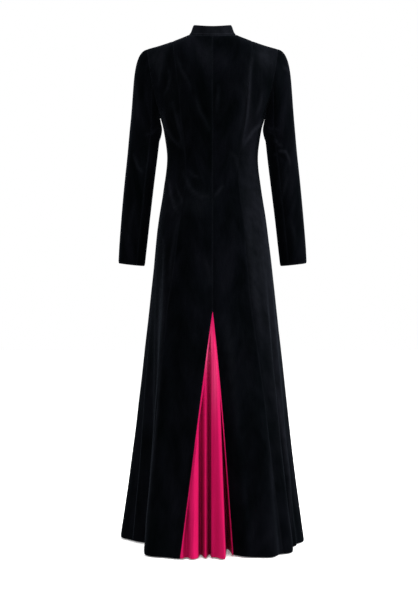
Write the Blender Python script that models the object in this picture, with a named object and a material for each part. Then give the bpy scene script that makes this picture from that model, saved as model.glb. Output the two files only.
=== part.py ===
"""A floor-length fitted coat in black velvet, with a bright godet let into the centre-back vent.

The coat is filled out as if worn, with nothing inside it. It stands in metres, +Z up, with the
wearer's front towards -Y and the wearer's left towards +X. The origin is the middle of the neck,
level with the point where each shoulder seam meets the collar.

Every cut piece is its own closed wall of cloth, lofted through unlike sections. A piece is a grid
of points on the coat's outer surface, and its inner face is the same grid moved in along the
surface's own normal. That normal belongs to the whole coat and not to one piece, so the walls on
both sides of a seam end face to face and keep an even gap, which a Solidify of each piece alone
would not give them at a fold.
"""

import math
from collections import namedtuple

import bmesh
import bpy
from mathutils import Vector

BACK, FRONT = 1, -1
LEFT, RIGHT = 1, -1
SIDE_NAMES = ((LEFT, "left"), (RIGHT, "right"))

# Sizes of the whole coat, in metres
HEM_Z = -1.447
UNDERARM_Z = -0.237
VELVET = 0.0020
CREPE = 0.0012
SEAM_GAP = 0.0003
ARMHOLE_GAP = 0.0006

# Neck and shoulders
NECK_HALF_WIDTH = 0.070
NECK_BACK = 0.066
NECK_BACK_DROP = 0.011
NECK_FRONT = 0.062
NECK_FRONT_DROP = 0.072
NECK_SHARE = 0.36
NECK_CURVE = 1.5
SHOULDER_X = 0.186
SHOULDER_DROP = 0.0385
SHOULDER_SAG = 0.003
SHOULDER_ROUNDING = 0.070
NECK_ROUNDING = 0.115
SECTION_POWER = 2.25

# Stand collar
COLLAR_HEIGHT = 0.030
COLLAR_LEAN = 0.0145
COLLAR_CURVE = 0.6
COLLAR_END_GAP = 0.004

# Front overlap, the wearer's right over the left
LAP_OVER = 0.020
LAP_UNDER = 0.028
LAP_MARGIN = 0.004
LAP_FLAT = LAP_OVER + LAP_UNDER + LAP_MARGIN
LAP_RAMP = 0.022
LAP_GAP = 0.0006
LAP_LIFT = VELVET + LAP_GAP

# Bust and shoulder blade fullness
FULLNESS_RADIUS = 0.085
BUST_X = 0.085
BUST_Z = -0.262
BUST_RISE = 0.011
BLADE_X = 0.085
BLADE_Z = -0.130
BLADE_RISE = 0.005

# Vent and godet at the centre back
VENT_TOP_Z = -0.787
VENT_SPREAD = {LEFT: 0.082, RIGHT: 0.064}
VENT_CURVE = 0.92
GODET_TOP_DROP = 0.016
GODET_LIFT = 0.013
GODET_STRIP = 0.0025
GODET_RISE = 0.004
GODET_GROWTH = 0.75
GODET_STRIP_SHARE = 0.05
GODET_RISE_SHARE = 0.10

# Sewn edges of the body panels
CENTRE_SEAMS = {BACK: ("top", "first", "last"), FRONT: ("top", "last")}
SIDE_SEAMS = ("top", "first", "last")

# Growth of the skirt's flutes from their start down to the hem
FLUTE_GROWTH = 1.25

# Sleeve cap
SLEEVE_AXIS_TILT = math.radians(6.0)
CAP_OUT = 0.045
CAP_DOWN = 0.120
CAP_SLOPE = -0.2
CAP_CROWDING = 1.3
UNDERARM_OUT = 0.010
UNDERARM_DOWN = 0.012
UNDERARM_LEAN = 0.45
SLEEVE_SEAM_TURN = 115

# Drawing of the walls
SHARP_ANGLE = math.radians(75)
NORMAL_STEP = 0.01
SEARCH_STEPS = 30
SEAM_STEPS = 8

# Grid density
UPPER_ROWS = 8
BODICE_ROWS = 12
SKIRT_ROWS = 9
NECK_COLUMNS = 5
SHOULDER_COLUMNS = 3
SIDE_COLUMNS = {BACK: 8, FRONT: 6}
GODET_COLUMNS = 38
CAP_ROWS = 5
ARM_ROWS = 9
SLEEVE_SEAM_COLUMN = 6
COLLAR_ROWS = 3

Section = namedtuple("Section", "z half_width back front side_seam")
SECTIONS = (
    Section(z=0.020, half_width=0.200, back=0.092, front=-0.068, side_seam=0.000),
    Section(z=-0.050, half_width=0.199, back=0.104, front=-0.084, side_seam=0.000),
    Section(z=-0.100, half_width=0.196, back=0.113, front=-0.100, side_seam=0.000),
    Section(z=-0.140, half_width=0.188, back=0.117, front=-0.114, side_seam=0.000),
    Section(z=-0.190, half_width=0.170, back=0.117, front=-0.130, side_seam=-0.004),
    Section(z=-0.237, half_width=0.149, back=0.113, front=-0.139, side_seam=-0.008),
    Section(z=-0.290, half_width=0.137, back=0.101, front=-0.134, side_seam=-0.010),
    Section(z=-0.356, half_width=0.1305, back=0.088, front=-0.116, side_seam=-0.010),
    Section(z=-0.442, half_width=0.1405, back=0.098, front=-0.113, side_seam=-0.006),
    Section(z=-0.528, half_width=0.1535, back=0.127, front=-0.120, side_seam=0.000),
    Section(z=-0.643, half_width=0.168, back=0.145, front=-0.132, side_seam=0.004),
    Section(z=-0.800, half_width=0.185, back=0.165, front=-0.150, side_seam=0.006),
    Section(z=-1.000, half_width=0.207, back=0.197, front=-0.177, side_seam=0.008),
    Section(z=-1.217, half_width=0.232, back=0.235, front=-0.210, side_seam=0.008),
    Section(z=-1.447, half_width=0.263, back=0.278, front=-0.250, side_seam=0.008),
)

ArmholePoint = namedtuple("ArmholePoint", "z across")
ARMHOLE = (
    ArmholePoint(z=-0.0385, across=0.186),
    ArmholePoint(z=-0.084, across=0.179),
    ArmholePoint(z=-0.134, across=0.172),
    ArmholePoint(z=-0.190, across=0.1605),
    ArmholePoint(z=-0.218, across=0.153),
    ArmholePoint(z=-0.237, across=0.149),
)

SeamPoint = namedtuple("SeamPoint", "z back_left back_right front")
PRINCESS_SEAMS = (
    SeamPoint(z=-0.020, back_left=0.1136, back_right=0.1136, front=0.1136),
    SeamPoint(z=-0.083, back_left=0.106, back_right=0.109, front=0.108),
    SeamPoint(z=-0.178, back_left=0.095, back_right=0.0975, front=0.099),
    SeamPoint(z=-0.262, back_left=0.087, back_right=0.089, front=0.091),
    SeamPoint(z=-0.327, back_left=0.079, back_right=0.0785, front=0.082),
    SeamPoint(z=-0.400, back_left=0.076, back_right=0.074, front=0.078),
    SeamPoint(z=-0.471, back_left=0.082, back_right=0.08, front=0.083),
    SeamPoint(z=-0.540, back_left=0.092, back_right=0.0875, front=0.092),
    SeamPoint(z=-0.629, back_left=0.104, back_right=0.094, front=0.103),
    SeamPoint(z=-0.800, back_left=0.125, back_right=0.1087, front=0.12),
    SeamPoint(z=-1.045, back_left=0.147, back_right=0.141, front=0.14),
    SeamPoint(z=-1.447, back_left=0.19, back_right=0.188, front=0.178),
)

# Angles run from the centre back, 90 at the side seam, 180 at the centre front.
Flute = namedtuple("Flute", "side start_z angle_top angle_hem half_width depth")
FLUTES = (
    Flute(side=LEFT, start_z=-0.80, angle_top=8, angle_hem=17, half_width=16, depth=0.020),
    Flute(side=LEFT, start_z=-0.56, angle_top=42, angle_hem=34, half_width=13, depth=0.020),
    Flute(side=LEFT, start_z=-0.56, angle_top=60, angle_hem=56, half_width=16, depth=-0.035),
    Flute(side=LEFT, start_z=-0.56, angle_top=74, angle_hem=74, half_width=28, depth=-0.085),
    Flute(side=LEFT, start_z=-0.56, angle_top=105, angle_hem=105, half_width=14, depth=0.012),
    Flute(side=LEFT, start_z=-0.62, angle_top=122, angle_hem=122, half_width=17, depth=-0.052),
    Flute(side=LEFT, start_z=-0.62, angle_top=142, angle_hem=142, half_width=15, depth=0.018),
    Flute(side=RIGHT, start_z=-0.85, angle_top=4, angle_hem=8, half_width=12, depth=-0.050),
    Flute(side=RIGHT, start_z=-0.62, angle_top=36, angle_hem=31, half_width=13, depth=0.026),
    Flute(side=RIGHT, start_z=-0.56, angle_top=52, angle_hem=49, half_width=10, depth=0.012),
    Flute(side=RIGHT, start_z=-0.62, angle_top=64, angle_hem=64, half_width=11, depth=-0.045),
    Flute(side=RIGHT, start_z=-0.60, angle_top=78, angle_hem=78, half_width=12, depth=-0.022),
    Flute(side=RIGHT, start_z=-0.62, angle_top=115, angle_hem=115, half_width=17, depth=-0.050),
    Flute(side=RIGHT, start_z=-0.62, angle_top=138, angle_hem=138, half_width=16, depth=0.020),
)

# The godet's folds: across is x at the hem, and drift is how much further left a fold starts.
# left_width lies on its +x side.
GodetFold = namedtuple("GodetFold", "across drift left_width right_width depth start_share")
GODET_FOLDS = (
    GodetFold(across=0.070, drift=0, left_width=0.012, right_width=0.014, depth=-0.016, start_share=0.10),
    GodetFold(across=0.050, drift=0, left_width=0.022, right_width=0.011, depth=0.012, start_share=0.15),
    GodetFold(across=0.0332, drift=0, left_width=0.008, right_width=0.013, depth=-0.048, start_share=0.20),
    GodetFold(across=0.0083, drift=0, left_width=0.010, right_width=0.0055, depth=-0.044, start_share=0.00),
    GodetFold(across=-0.033, drift=0.024, left_width=0.034, right_width=0.006, depth=0.046, start_share=0.10),
    GodetFold(across=-0.0395, drift=0.024, left_width=0.007, right_width=0.018, depth=-0.1, start_share=0.2),
)

SleeveSection = namedtuple("SleeveSection", "z out forward half_width half_depth")
SLEEVE_SECTIONS = (
    SleeveSection(z=-0.270, out=0.1930, forward=-0.003, half_width=0.0440, half_depth=0.0580),
    SleeveSection(z=-0.340, out=0.2003, forward=-0.002, half_width=0.0432, half_depth=0.0545),
    SleeveSection(z=-0.420, out=0.2092, forward=-0.002, half_width=0.0425, half_depth=0.0510),
    SleeveSection(z=-0.520, out=0.2208, forward=-0.013, half_width=0.0415, half_depth=0.0470),
    SleeveSection(z=-0.600, out=0.2293, forward=-0.032, half_width=0.0402, half_depth=0.0435),
    SleeveSection(z=-0.655, out=0.2350, forward=-0.047, half_width=0.0388, half_depth=0.0415),
)

Finish = namedtuple("Finish", "name colour roughness metallic")
BLACK_VELVET = Finish("black_velvet", (0.010, 0.010, 0.014), 0.85, 0.0)
PINK_CREPE = Finish("pink_crepe", (0.55, 0.012, 0.105), 0.60, 0.0)


# Small helpers


def mix(a, b, share):
    """The value that lies this share of the way from a to b."""
    return a + (b - a) * share


def smooth_share(t):
    """0 below 0, 1 above 1, with an even S between."""
    t = min(1.0, max(0.0, t))
    return t * t * (3 - 2 * t)


def bump(distance, half_width):
    """1 at no distance, falling evenly to 0 at half_width."""
    t = min(1.0, abs(distance) / half_width)
    return 0.5 + 0.5 * math.cos(math.pi * t)


def lookup(table, column, z):
    """A smooth curve through one column of a table whose rows run downwards in z."""
    heights = [-row.z for row in table]
    values = [getattr(row, column) for row in table]
    at = min(max(-z, heights[0]), heights[-1])
    i = max(k for k in range(len(table) - 1) if heights[k] <= at)

    def slope(k):
        low, high = max(k - 1, 0), min(k + 1, len(table) - 1)
        return (values[high] - values[low]) / (heights[high] - heights[low])

    span = heights[i + 1] - heights[i]
    t = (at - heights[i]) / span
    return (
        values[i] * (1 + 2 * t) * (1 - t) ** 2
        + values[i + 1] * t * t * (3 - 2 * t)
        + span * slope(i) * t * (1 - t) ** 2
        - span * slope(i + 1) * t * t * (1 - t)
    )


# The coat's outer surface
# face is BACK or FRONT and side is LEFT or RIGHT. q runs from 0 at the centre line to 1 at the
# armhole or side seam. v runs from 0 at the neckline and shoulder seam to 1 at the underarm, and
# on to 2 at the hem.


def top_edge(face, q):
    """(x, y, z) of the neckline or the shoulder seam at q."""
    corner = NECK_SHARE
    if q < corner:
        angle = math.radians(90) * q / corner
        depth = NECK_BACK if face == BACK else -NECK_FRONT
        drop = NECK_BACK_DROP if face == BACK else NECK_FRONT_DROP
        return (
            NECK_HALF_WIDTH * math.sin(angle),
            depth * math.cos(angle),
            -drop * math.cos(angle) ** NECK_CURVE,
        )
    along = (q - corner) / (1 - corner)
    drop = SHOULDER_DROP * along + SHOULDER_SAG * math.sin(math.pi * along)
    return mix(NECK_HALF_WIDTH, SHOULDER_X, along), 0.0, -drop


def height_at(face, q, v):
    """z of the row v in column q."""
    if v <= 1:
        return mix(top_edge(face, q)[2], UNDERARM_Z, v * v)
    return mix(UNDERARM_Z, HEM_Z, v - 1)


def across_at(face, q, v):
    """x of the row v in column q, before any flute."""
    turn = math.radians(90) * q
    round_share = math.sin(turn) ** (2 / SECTION_POWER)
    if v >= 1:
        return lookup(SECTIONS, "half_width", height_at(face, q, v)) * round_share
    armhole = lookup(ARMHOLE, "across", height_at(face, 1, v))
    top_share = top_edge(face, q)[0] / SHOULDER_X
    return armhole * mix(top_share, round_share, smooth_share(v))


def depth_at(face, x, z):
    """y of the full section at x and z, before the shoulders round it over."""
    across = min(1.0, x / lookup(SECTIONS, "half_width", z))
    seam = lookup(SECTIONS, "side_seam", z)
    centre = lookup(SECTIONS, "back" if face == BACK else "front", z)
    full = (1 - across**SECTION_POWER) ** (1 / SECTION_POWER)
    return mix(seam, centre, full)


def fullness(face, x, z):
    """How far the bust or the shoulder blade stands out of the section at x and z."""
    if face == FRONT:
        away = math.hypot(x - BUST_X, z - BUST_Z)
        return BUST_RISE * bump(away, FULLNESS_RADIUS)
    away = math.hypot(x - BLADE_X, z - BLADE_Z)
    return BLADE_RISE * bump(away, FULLNESS_RADIUS)


def flute_depth(side, angle, z):
    """How far the skirt's flutes push the cloth out, or in where it is negative."""
    total = 0.0
    for flute in FLUTES:
        if flute.side != side or z > flute.start_z:
            continue
        down = (flute.start_z - z) / (flute.start_z - HEM_Z)
        centre = mix(flute.angle_top, flute.angle_hem, down)
        total += flute.depth * down**FLUTE_GROWTH * bump(angle - centre, flute.half_width)
    return total


def body_point(side, face, q, v):
    """A point of the coat's outer surface. A q below 0 lies past the centre line."""
    crossing = -1 if q < 0 else 1
    q = abs(q)
    z = height_at(face, q, v)
    x = across_at(face, q, v)
    y = depth_at(face, x, z) + face * fullness(face, x, z)
    if v < 1:
        _, y_top, z_top = top_edge(face, q)
        on_shoulder = smooth_share(q / NECK_SHARE)
        rounding = mix(NECK_ROUNDING, SHOULDER_ROUNDING, on_shoulder)
        t = min(1.0, (z_top - z) / rounding)
        dome = math.sqrt(1 - (1 - t) ** 2)
        slope = 1 - (1 - t) ** 2
        y = mix(y_top, y, mix(slope, dome, on_shoulder))
    turn = 90 * q if face == BACK else 180 - 90 * q
    out = flute_depth(side * crossing, turn, z)
    angle = math.radians(turn)
    return Vector((side * crossing * (x + out * math.sin(angle)), y + out * math.cos(angle), z))


def body_normal(side, face, q, v):
    """The outward normal of the coat's surface."""
    q_low = max(q - NORMAL_STEP, 0.0) if q >= 0 else q - NORMAL_STEP
    q_high = min(q + NORMAL_STEP, 1.0)
    v_low, v_high = max(v - NORMAL_STEP, 0.0), min(v + NORMAL_STEP, 2.0)
    along = body_point(side, face, q_high, v) - body_point(side, face, q_low, v)
    down = body_point(side, face, q, v_high) - body_point(side, face, q, v_low)
    return along.cross(down).normalized() * side * face


def share_for(face, x, v):
    """The q at which row v lies x from the centre line."""
    low, high = 0.0, 1.0
    for _ in range(SEARCH_STEPS):
        middle = (low + high) / 2
        if across_at(face, middle, v) < x:
            low = middle
        else:
            high = middle
    return (low + high) / 2


def princess_share(side, face, v):
    """The q of the princess seam in row v."""
    column = "front"
    if face == BACK:
        column = "back_left" if side == LEFT else "back_right"
    q = 0.5
    for _ in range(SEAM_STEPS):
        q = share_for(face, lookup(PRINCESS_SEAMS, column, height_at(face, q, v)), v)
    return q


def vent_half_width(side, z):
    """How far this side's edge of the vent stands from the centre back."""
    if z >= VENT_TOP_Z:
        return 0.0
    down = (VENT_TOP_Z - z) / (VENT_TOP_Z - HEM_Z)
    return VENT_SPREAD[side] * down**VENT_CURVE


def skirt_v(z):
    """The v of the level z, below the underarm."""
    return 1 + (UNDERARM_Z - z) / (UNDERARM_Z - HEM_Z)


def body_rows():
    """Every row's v, with rows at the underarm, at the vent's top and where the godet begins."""
    upper = [i / UPPER_ROWS for i in range(UPPER_ROWS)]
    bodice = [mix(UNDERARM_Z, VENT_TOP_Z, i / BODICE_ROWS) for i in range(BODICE_ROWS + 1)]
    godet_top = VENT_TOP_Z - GODET_TOP_DROP
    skirt = [mix(godet_top, HEM_Z, i / SKIRT_ROWS) for i in range(SKIRT_ROWS + 1)]
    return upper + [skirt_v(z) for z in bodice + skirt]


# Walls of cloth


def grid_normals(points):
    """A normal at each point of a grid, from its neighbours."""
    rows, columns = len(points), len(points[0])
    normals = []
    for r in range(rows):
        line = []
        for c in range(columns):
            across = points[r][min(c + 1, columns - 1)] - points[r][max(c - 1, 0)]
            down = points[min(r + 1, rows - 1)][c] - points[max(r - 1, 0)][c]
            line.append(across.cross(down).normalized())
        normals.append(line)
    return normals


def moved(points, normals, distance):
    """A grid's points moved along their normals."""
    return [[p + n * distance for p, n in zip(*rows)] for rows in zip(points, normals)]


def pull_in(outer, inner, edge, distance):
    """Draws the top, first or last edge of a wall back, so that two pieces leave a seam gap."""
    rows, columns = range(len(outer)), range(len(outer[0]))
    if edge == "top":
        cells = [((0, c), (1, c)) for c in columns]
    elif edge == "first":
        cells = [((r, 0), (r, 1)) for r in rows]
    else:
        cells = [((r, columns[-1]), (r, columns[-2])) for r in rows]
    for (r, c), (r2, c2) in cells:
        step = (outer[r2][c2] - outer[r][c]).normalized() * distance
        outer[r][c] = outer[r][c] + step
        inner[r][c] = inner[r][c] + step


def material_for(finish):
    """The finish's material, made once."""
    made = bpy.data.materials.get(finish.name)
    if made:
        return made
    made = bpy.data.materials.new(finish.name)
    made.use_nodes = True
    shader = made.node_tree.nodes["Principled BSDF"]
    shader.inputs["Base Color"].default_value = (*finish.colour, 1)
    shader.inputs["Roughness"].default_value = finish.roughness
    shader.inputs["Metallic"].default_value = finish.metallic
    return made


def add_wall(name, outer, inner, finish, collection):
    """One closed wall between an outer and an inner grid of points."""
    rows, columns = len(outer), len(outer[0])
    mesh = bpy.data.meshes.new(name)
    shape = bmesh.new()
    corners = [[[shape.verts.new(p) for p in row] for row in grid] for grid in (outer, inner)]

    def patch(a, b, c, d):
        shape.faces.new((a, b, c))
        shape.faces.new((a, c, d))

    for grid in corners:
        for r in range(rows - 1):
            for c in range(columns - 1):
                patch(grid[r][c], grid[r][c + 1], grid[r + 1][c + 1], grid[r + 1][c])
    rim = [(0, c) for c in range(columns)] + [(r, columns - 1) for r in range(1, rows)]
    rim += [(rows - 1, c) for c in reversed(range(columns - 1))]
    rim += [(r, 0) for r in reversed(range(1, rows - 1))]
    outside, inside = corners
    for (r, c), (r2, c2) in zip(rim, rim[1:] + rim[:1]):
        ring = (outside[r][c], outside[r2][c2], inside[r2][c2], inside[r][c])
        # Both sides of a seam are split along the same diagonal, so that their gap stays even.
        if (r2, c2) > (r, c):
            patch(*ring)
        else:
            patch(*ring[1:], ring[0])
    bmesh.ops.recalc_face_normals(shape, faces=shape.faces)
    shape.to_mesh(mesh)
    shape.free()
    mesh.shade_smooth()
    mesh.set_sharp_from_angle(angle=SHARP_ANGLE)
    mesh.materials.append(material_for(finish))
    piece = bpy.data.objects.new(name, mesh)
    collection.objects.link(piece)
    return piece


# Pieces of the body


def centre_columns(side, face, v):
    """The q of each column of a centre panel in row v, from the centre line to the princess seam."""
    z = height_at(face, 0, v)
    last = princess_share(side, face, v)
    first = share_for(face, vent_half_width(side, z), v) if face == BACK else 0.0
    corner = NECK_SHARE / princess_share(side, face, 0)
    shares = [corner * i / NECK_COLUMNS for i in range(NECK_COLUMNS)]
    shares += [mix(corner, 1, i / SHOULDER_COLUMNS) for i in range(SHOULDER_COLUMNS + 1)]
    return [mix(first, last, share) for share in shares]


def side_panel_columns(side, face, v):
    """The q of each column of a side panel in row v, from the princess seam to the side."""
    first = princess_share(side, face, v)
    count = SIDE_COLUMNS[face]
    return [mix(first, 1.0, i / count) for i in range(count + 1)]


def lap_columns(side, v):
    """The extra columns of a front panel past the centre line, outermost first."""
    reach = LAP_OVER if side == RIGHT else LAP_UNDER
    return [-share_for(FRONT, reach * share, v) for share in (1.0, 0.5)]


def lap_lift(side, x_past):
    """How far the upper front stands off the lower one, where x_past is the way from its edge."""
    if side == LEFT:
        return 0.0
    return LAP_LIFT * (1 - smooth_share((x_past - LAP_FLAT) / LAP_RAMP))


def panel_grids(side, face, columns_in_row):
    """The outer and inner grids of one body panel."""
    outer, inner = [], []
    for v in body_rows():
        outer_row, inner_row = [], []
        for q in columns_in_row(side, face, v):
            point = body_point(side, face, q, v)
            normal = body_normal(side, face, q, v)
            if face == FRONT:
                point += normal * lap_lift(side, LAP_OVER + side * point.x)
            outer_row.append(point)
            inner_row.append(point - normal * VELVET)
        outer.append(outer_row)
        inner.append(inner_row)
    return outer, inner


def centre_panel_columns(side, face, v):
    """The q of each column of a centre panel, with the overlap on a front one."""
    past = lap_columns(side, v) if face == FRONT else []
    return past + centre_columns(side, face, v)


def build_body(collection):
    """The four back and four front panels."""
    for side, side_name in SIDE_NAMES:
        for face, face_name in ((BACK, "back"), (FRONT, "front")):
            for part_name, columns, edges in (
                ("centre", centre_panel_columns, CENTRE_SEAMS[face]),
                ("side", side_panel_columns, SIDE_SEAMS),
            ):
                outer, inner = panel_grids(side, face, columns)
                for edge in edges:
                    pull_in(outer, inner, edge, SEAM_GAP / 2)
                name = f"{face_name}_{part_name}_{side_name}"
                add_wall(name, outer, inner, BLACK_VELVET, collection)


# Collar


def collar_base():
    """(side, face, q) along the neckline, from the centre front round the back to it again."""
    points = []
    shares = [NECK_SHARE * i / NECK_COLUMNS for i in range(NECK_COLUMNS + 1)]
    for side, face, run in (
        (LEFT, FRONT, shares),
        (LEFT, BACK, shares[-2::-1]),
        (RIGHT, BACK, shares[1:]),
        (RIGHT, FRONT, shares[-2::-1]),
    ):
        points += [(side, face, q) for q in run]
    return points


def build_collar(collection):
    """The stand collar, one band with its ends meeting at the centre front."""
    rows = []
    for r in range(COLLAR_ROWS + 1):
        up = r / COLLAR_ROWS
        line = []
        for side, face, q in collar_base():
            base = body_point(side, face, q, 0)
            start = base + body_normal(side, face, q, 0) * SEAM_GAP
            inward = Vector((-base.x, -base.y, 0)).normalized()
            lean = COLLAR_LEAN * up**COLLAR_CURVE
            line.append(start + inward * (SEAM_GAP + lean) + Vector((0, 0, COLLAR_HEIGHT * up)))
        rows.append(line)
    normals = grid_normals(rows)
    middle = len(rows[0]) // 2
    sign = 1 if normals[1][middle].y > 0 else -1
    inner = moved(rows, normals, -sign * VELVET)
    for edge in ("first", "last"):
        pull_in(rows, inner, edge, COLLAR_END_GAP / 2)
    add_wall("stand_collar", rows, inner, BLACK_VELVET, collection)


# Sleeves


def armhole_run():
    """(face, v) of each armhole point, from the shoulder down the back, and up the front."""
    rows = [i / UPPER_ROWS for i in range(UPPER_ROWS + 1)]
    return [(BACK, v) for v in rows] + [(FRONT, v) for v in reversed(rows[:-1])]


def sleeve_turn(i):
    """The angle round the sleeve, from its outer side, of the column that starts at armhole point i."""
    if i > UPPER_ROWS:
        return 360 - sleeve_turn(2 * UPPER_ROWS - i)
    if i <= SLEEVE_SEAM_COLUMN:
        return SLEEVE_SEAM_TURN * i / SLEEVE_SEAM_COLUMN
    under = (i - SLEEVE_SEAM_COLUMN) / (UPPER_ROWS - SLEEVE_SEAM_COLUMN)
    return mix(SLEEVE_SEAM_TURN, 180, under)


def sleeve_ring(side, z):
    """The sleeve's section at z, with a point for each point of the armhole."""
    section = {name: lookup(SLEEVE_SECTIONS, name, z) for name in SleeveSection._fields[1:]}
    ring = []
    for i in range(len(armhole_run())):
        turn = math.radians(sleeve_turn(i))
        out = section["half_width"] * math.cos(turn)
        back = section["half_depth"] * math.sin(turn)
        ring.append(
            Vector(
                (
                    side * (section["out"] + out * math.cos(SLEEVE_AXIS_TILT)),
                    section["forward"] + back,
                    z + out * math.sin(SLEEVE_AXIS_TILT),
                )
            )
        )
    return ring


def armhole_step(side, face, v):
    """A short step off the armhole's edge: along the body's cloth, or out from it at the underarm."""
    seam = body_point(side, face, 1, v)
    along = (seam - body_point(side, face, 1 - NORMAL_STEP, v)).normalized()
    out = body_normal(side, face, 1, v)
    return mix(along, out, v).normalized() * ARMHOLE_GAP


def cap_curve(side, face, v, end):
    """Points from the armhole to the sleeve's first full section."""
    under = smooth_share(v)
    leave = Vector((side * mix(1.0, UNDERARM_LEAN, under), 0, mix(CAP_SLOPE, -1.0, under)))
    leave.normalize()
    start = body_point(side, face, 1, v) + armhole_step(side, face, v)
    knee = start + leave * mix(CAP_OUT, UNDERARM_OUT, under)
    upward = Vector((-side * math.sin(SLEEVE_AXIS_TILT), 0, 1))
    lift = end + upward * mix(CAP_DOWN, UNDERARM_DOWN, under)
    points = []
    for r in range(CAP_ROWS):
        t = (r / CAP_ROWS) ** CAP_CROWDING
        early = start * (1 - t) ** 3 + knee * 3 * t * (1 - t) ** 2
        points.append(early + lift * 3 * t * t * (1 - t) + end * t**3)
    return points


def build_sleeve(side, side_name, collection):
    """The two-piece sleeve: an upper and an under piece, joined along two seams."""
    run = armhole_run()
    top, bottom = SLEEVE_SECTIONS[0].z, SLEEVE_SECTIONS[-1].z
    first_ring = sleeve_ring(side, top)
    caps = [cap_curve(side, face, v, end) for (face, v), end in zip(run, first_ring)]
    caps[-1] = caps[0]
    rows = [[cap[r] for cap in caps] for r in range(CAP_ROWS)]
    rows += [sleeve_ring(side, mix(top, bottom, r / ARM_ROWS)) for r in range(ARM_ROWS + 1)]
    wrapped = [row[-2:-1] + row + row[1:2] for row in rows]
    normals = [line[1:-1] for line in grid_normals(wrapped)]
    sign = 1 if normals[-1][0].x * side > 0 else -1
    inner = moved(rows, normals, -sign * VELVET)
    count = len(run) - 1
    ends = SLEEVE_SEAM_COLUMN, count - SLEEVE_SEAM_COLUMN
    under = list(range(ends[0], ends[1] + 1))
    upper = list(range(ends[1], count)) + list(range(0, ends[0] + 1))
    for name, columns in (("upper", upper), ("under", under)):
        outer_part = [[row[c] for c in columns] for row in rows]
        inner_part = [[row[c] for c in columns] for row in inner]
        for edge in ("first", "last"):
            pull_in(outer_part, inner_part, edge, SEAM_GAP / 2)
        full_name = f"{name}_sleeve_{side_name}"
        add_wall(full_name, outer_part, inner_part, BLACK_VELVET, collection)


# Godet


def godet_fold_depth(x, from_edge, down):
    """How far the folds push the crepe out or in, at x, this far from the nearer sewn edge."""
    total = 0.0
    for fold in GODET_FOLDS:
        grown = max(0.0, (down - fold.start_share) / (1 - fold.start_share)) ** GODET_GROWTH
        away = x - fold.across - fold.drift * (1 - down)
        total += fold.depth * grown * bump(away, fold.left_width if away > 0 else fold.right_width)
    return total * smooth_share((from_edge - GODET_STRIP) / GODET_RISE)


def godet_places(width):
    """Places across a row of the godet, 0 to 1, close together beside its sewn edges."""
    strip = min(GODET_STRIP / width, GODET_STRIP_SHARE)
    rise = min((GODET_STRIP + GODET_RISE) / width, GODET_RISE_SHARE)
    inside = GODET_COLUMNS - 4
    between = [mix(rise, 1 - rise, i / inside) for i in range(inside + 1)]
    return [0.0, strip] + between + [1 - strip, 1.0]


def build_godet(collection):
    """The flared insert between the edges of the vent."""
    rows = []
    for v in body_rows()[-(SKIRT_ROWS + 1) :]:
        z = height_at(BACK, 0, v)
        down = (VENT_TOP_Z - z) / (VENT_TOP_Z - HEM_Z)
        edges = {}
        for side in (LEFT, RIGHT):
            q = share_for(BACK, vent_half_width(side, z), v)
            edges[side] = body_point(side, BACK, q, v)
        across = (edges[RIGHT] - edges[LEFT]).normalized()
        left = edges[LEFT] + across * SEAM_GAP
        right = edges[RIGHT] - across * SEAM_GAP
        width = (right - left).length
        line = []
        for place in godet_places(width):
            point = mix(left, right, place)
            arch = GODET_LIFT * down * math.sin(math.pi * place)
            point.y += arch + godet_fold_depth(point.x, min(place, 1 - place) * width, down)
            line.append(point)
        rows.append(line)
    normals = grid_normals(rows)
    sign = 1 if normals[-1][3].y > 0 else -1
    inner = moved(rows, normals, -sign * CREPE)
    add_wall("godet", rows, inner, PINK_CREPE, collection)


def clear_scene():
    """Removes whatever the file holds before the coat is built."""
    for old in list(bpy.data.objects):
        bpy.data.objects.remove(old, do_unlink=True)


def main():
    """Builds every piece of the coat."""
    clear_scene()
    collection = bpy.data.collections.new("velvet_coat")
    bpy.context.scene.collection.children.link(collection)
    build_body(collection)
    build_collar(collection)
    for side, side_name in SIDE_NAMES:
        build_sleeve(side, side_name, collection)
    build_godet(collection)


main()
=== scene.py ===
"""Looks of a floor-length black velvet coat with a bright crepe godet in its centre-back vent.

Every cut piece is a fine sheet of cloth on the form of its solid: the same sizes give the same
surface, and this script adds the creases, the rolled seams and hems, and the finishes.
All sizes are metres, +Z up, with the wearer's front towards -Y and left towards +X.
"""

from dataclasses import dataclass, replace
from enum import Enum
import logging
import math
from typing import Optional, Sequence, Union

import bpy
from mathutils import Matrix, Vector
import numpy as np


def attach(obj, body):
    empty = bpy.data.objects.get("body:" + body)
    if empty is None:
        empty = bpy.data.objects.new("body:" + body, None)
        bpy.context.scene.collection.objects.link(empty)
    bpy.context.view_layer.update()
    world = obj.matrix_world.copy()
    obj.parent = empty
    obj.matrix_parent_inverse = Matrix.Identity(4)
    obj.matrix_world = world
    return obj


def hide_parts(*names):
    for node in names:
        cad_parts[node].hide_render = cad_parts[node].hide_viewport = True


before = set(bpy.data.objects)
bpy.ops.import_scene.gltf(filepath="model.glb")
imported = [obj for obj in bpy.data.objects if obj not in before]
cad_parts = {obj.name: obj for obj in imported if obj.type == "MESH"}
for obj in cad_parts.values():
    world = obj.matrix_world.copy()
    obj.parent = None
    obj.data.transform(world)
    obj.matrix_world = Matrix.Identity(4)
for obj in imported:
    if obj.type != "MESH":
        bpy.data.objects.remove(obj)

LOG = logging.getLogger("velvet_coat")
BODY = "root"
Grid = np.ndarray
Tone = Union[float, tuple]
Socket = bpy.types.NodeSocket
Material = bpy.types.Material
# The least length that anything is divided by
TINY = 1e-12


class Face(Enum):
    """The half of the coat that a piece belongs to, as the sign of its y."""

    BACK = 1
    FRONT = -1


class Side(Enum):
    """The wearer's side, as the sign of its x."""

    LEFT = 1
    RIGHT = -1


class Held(Enum):
    HUNG = "hung"
    FOLDED = "folded"


# Shared shapes of curves


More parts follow.
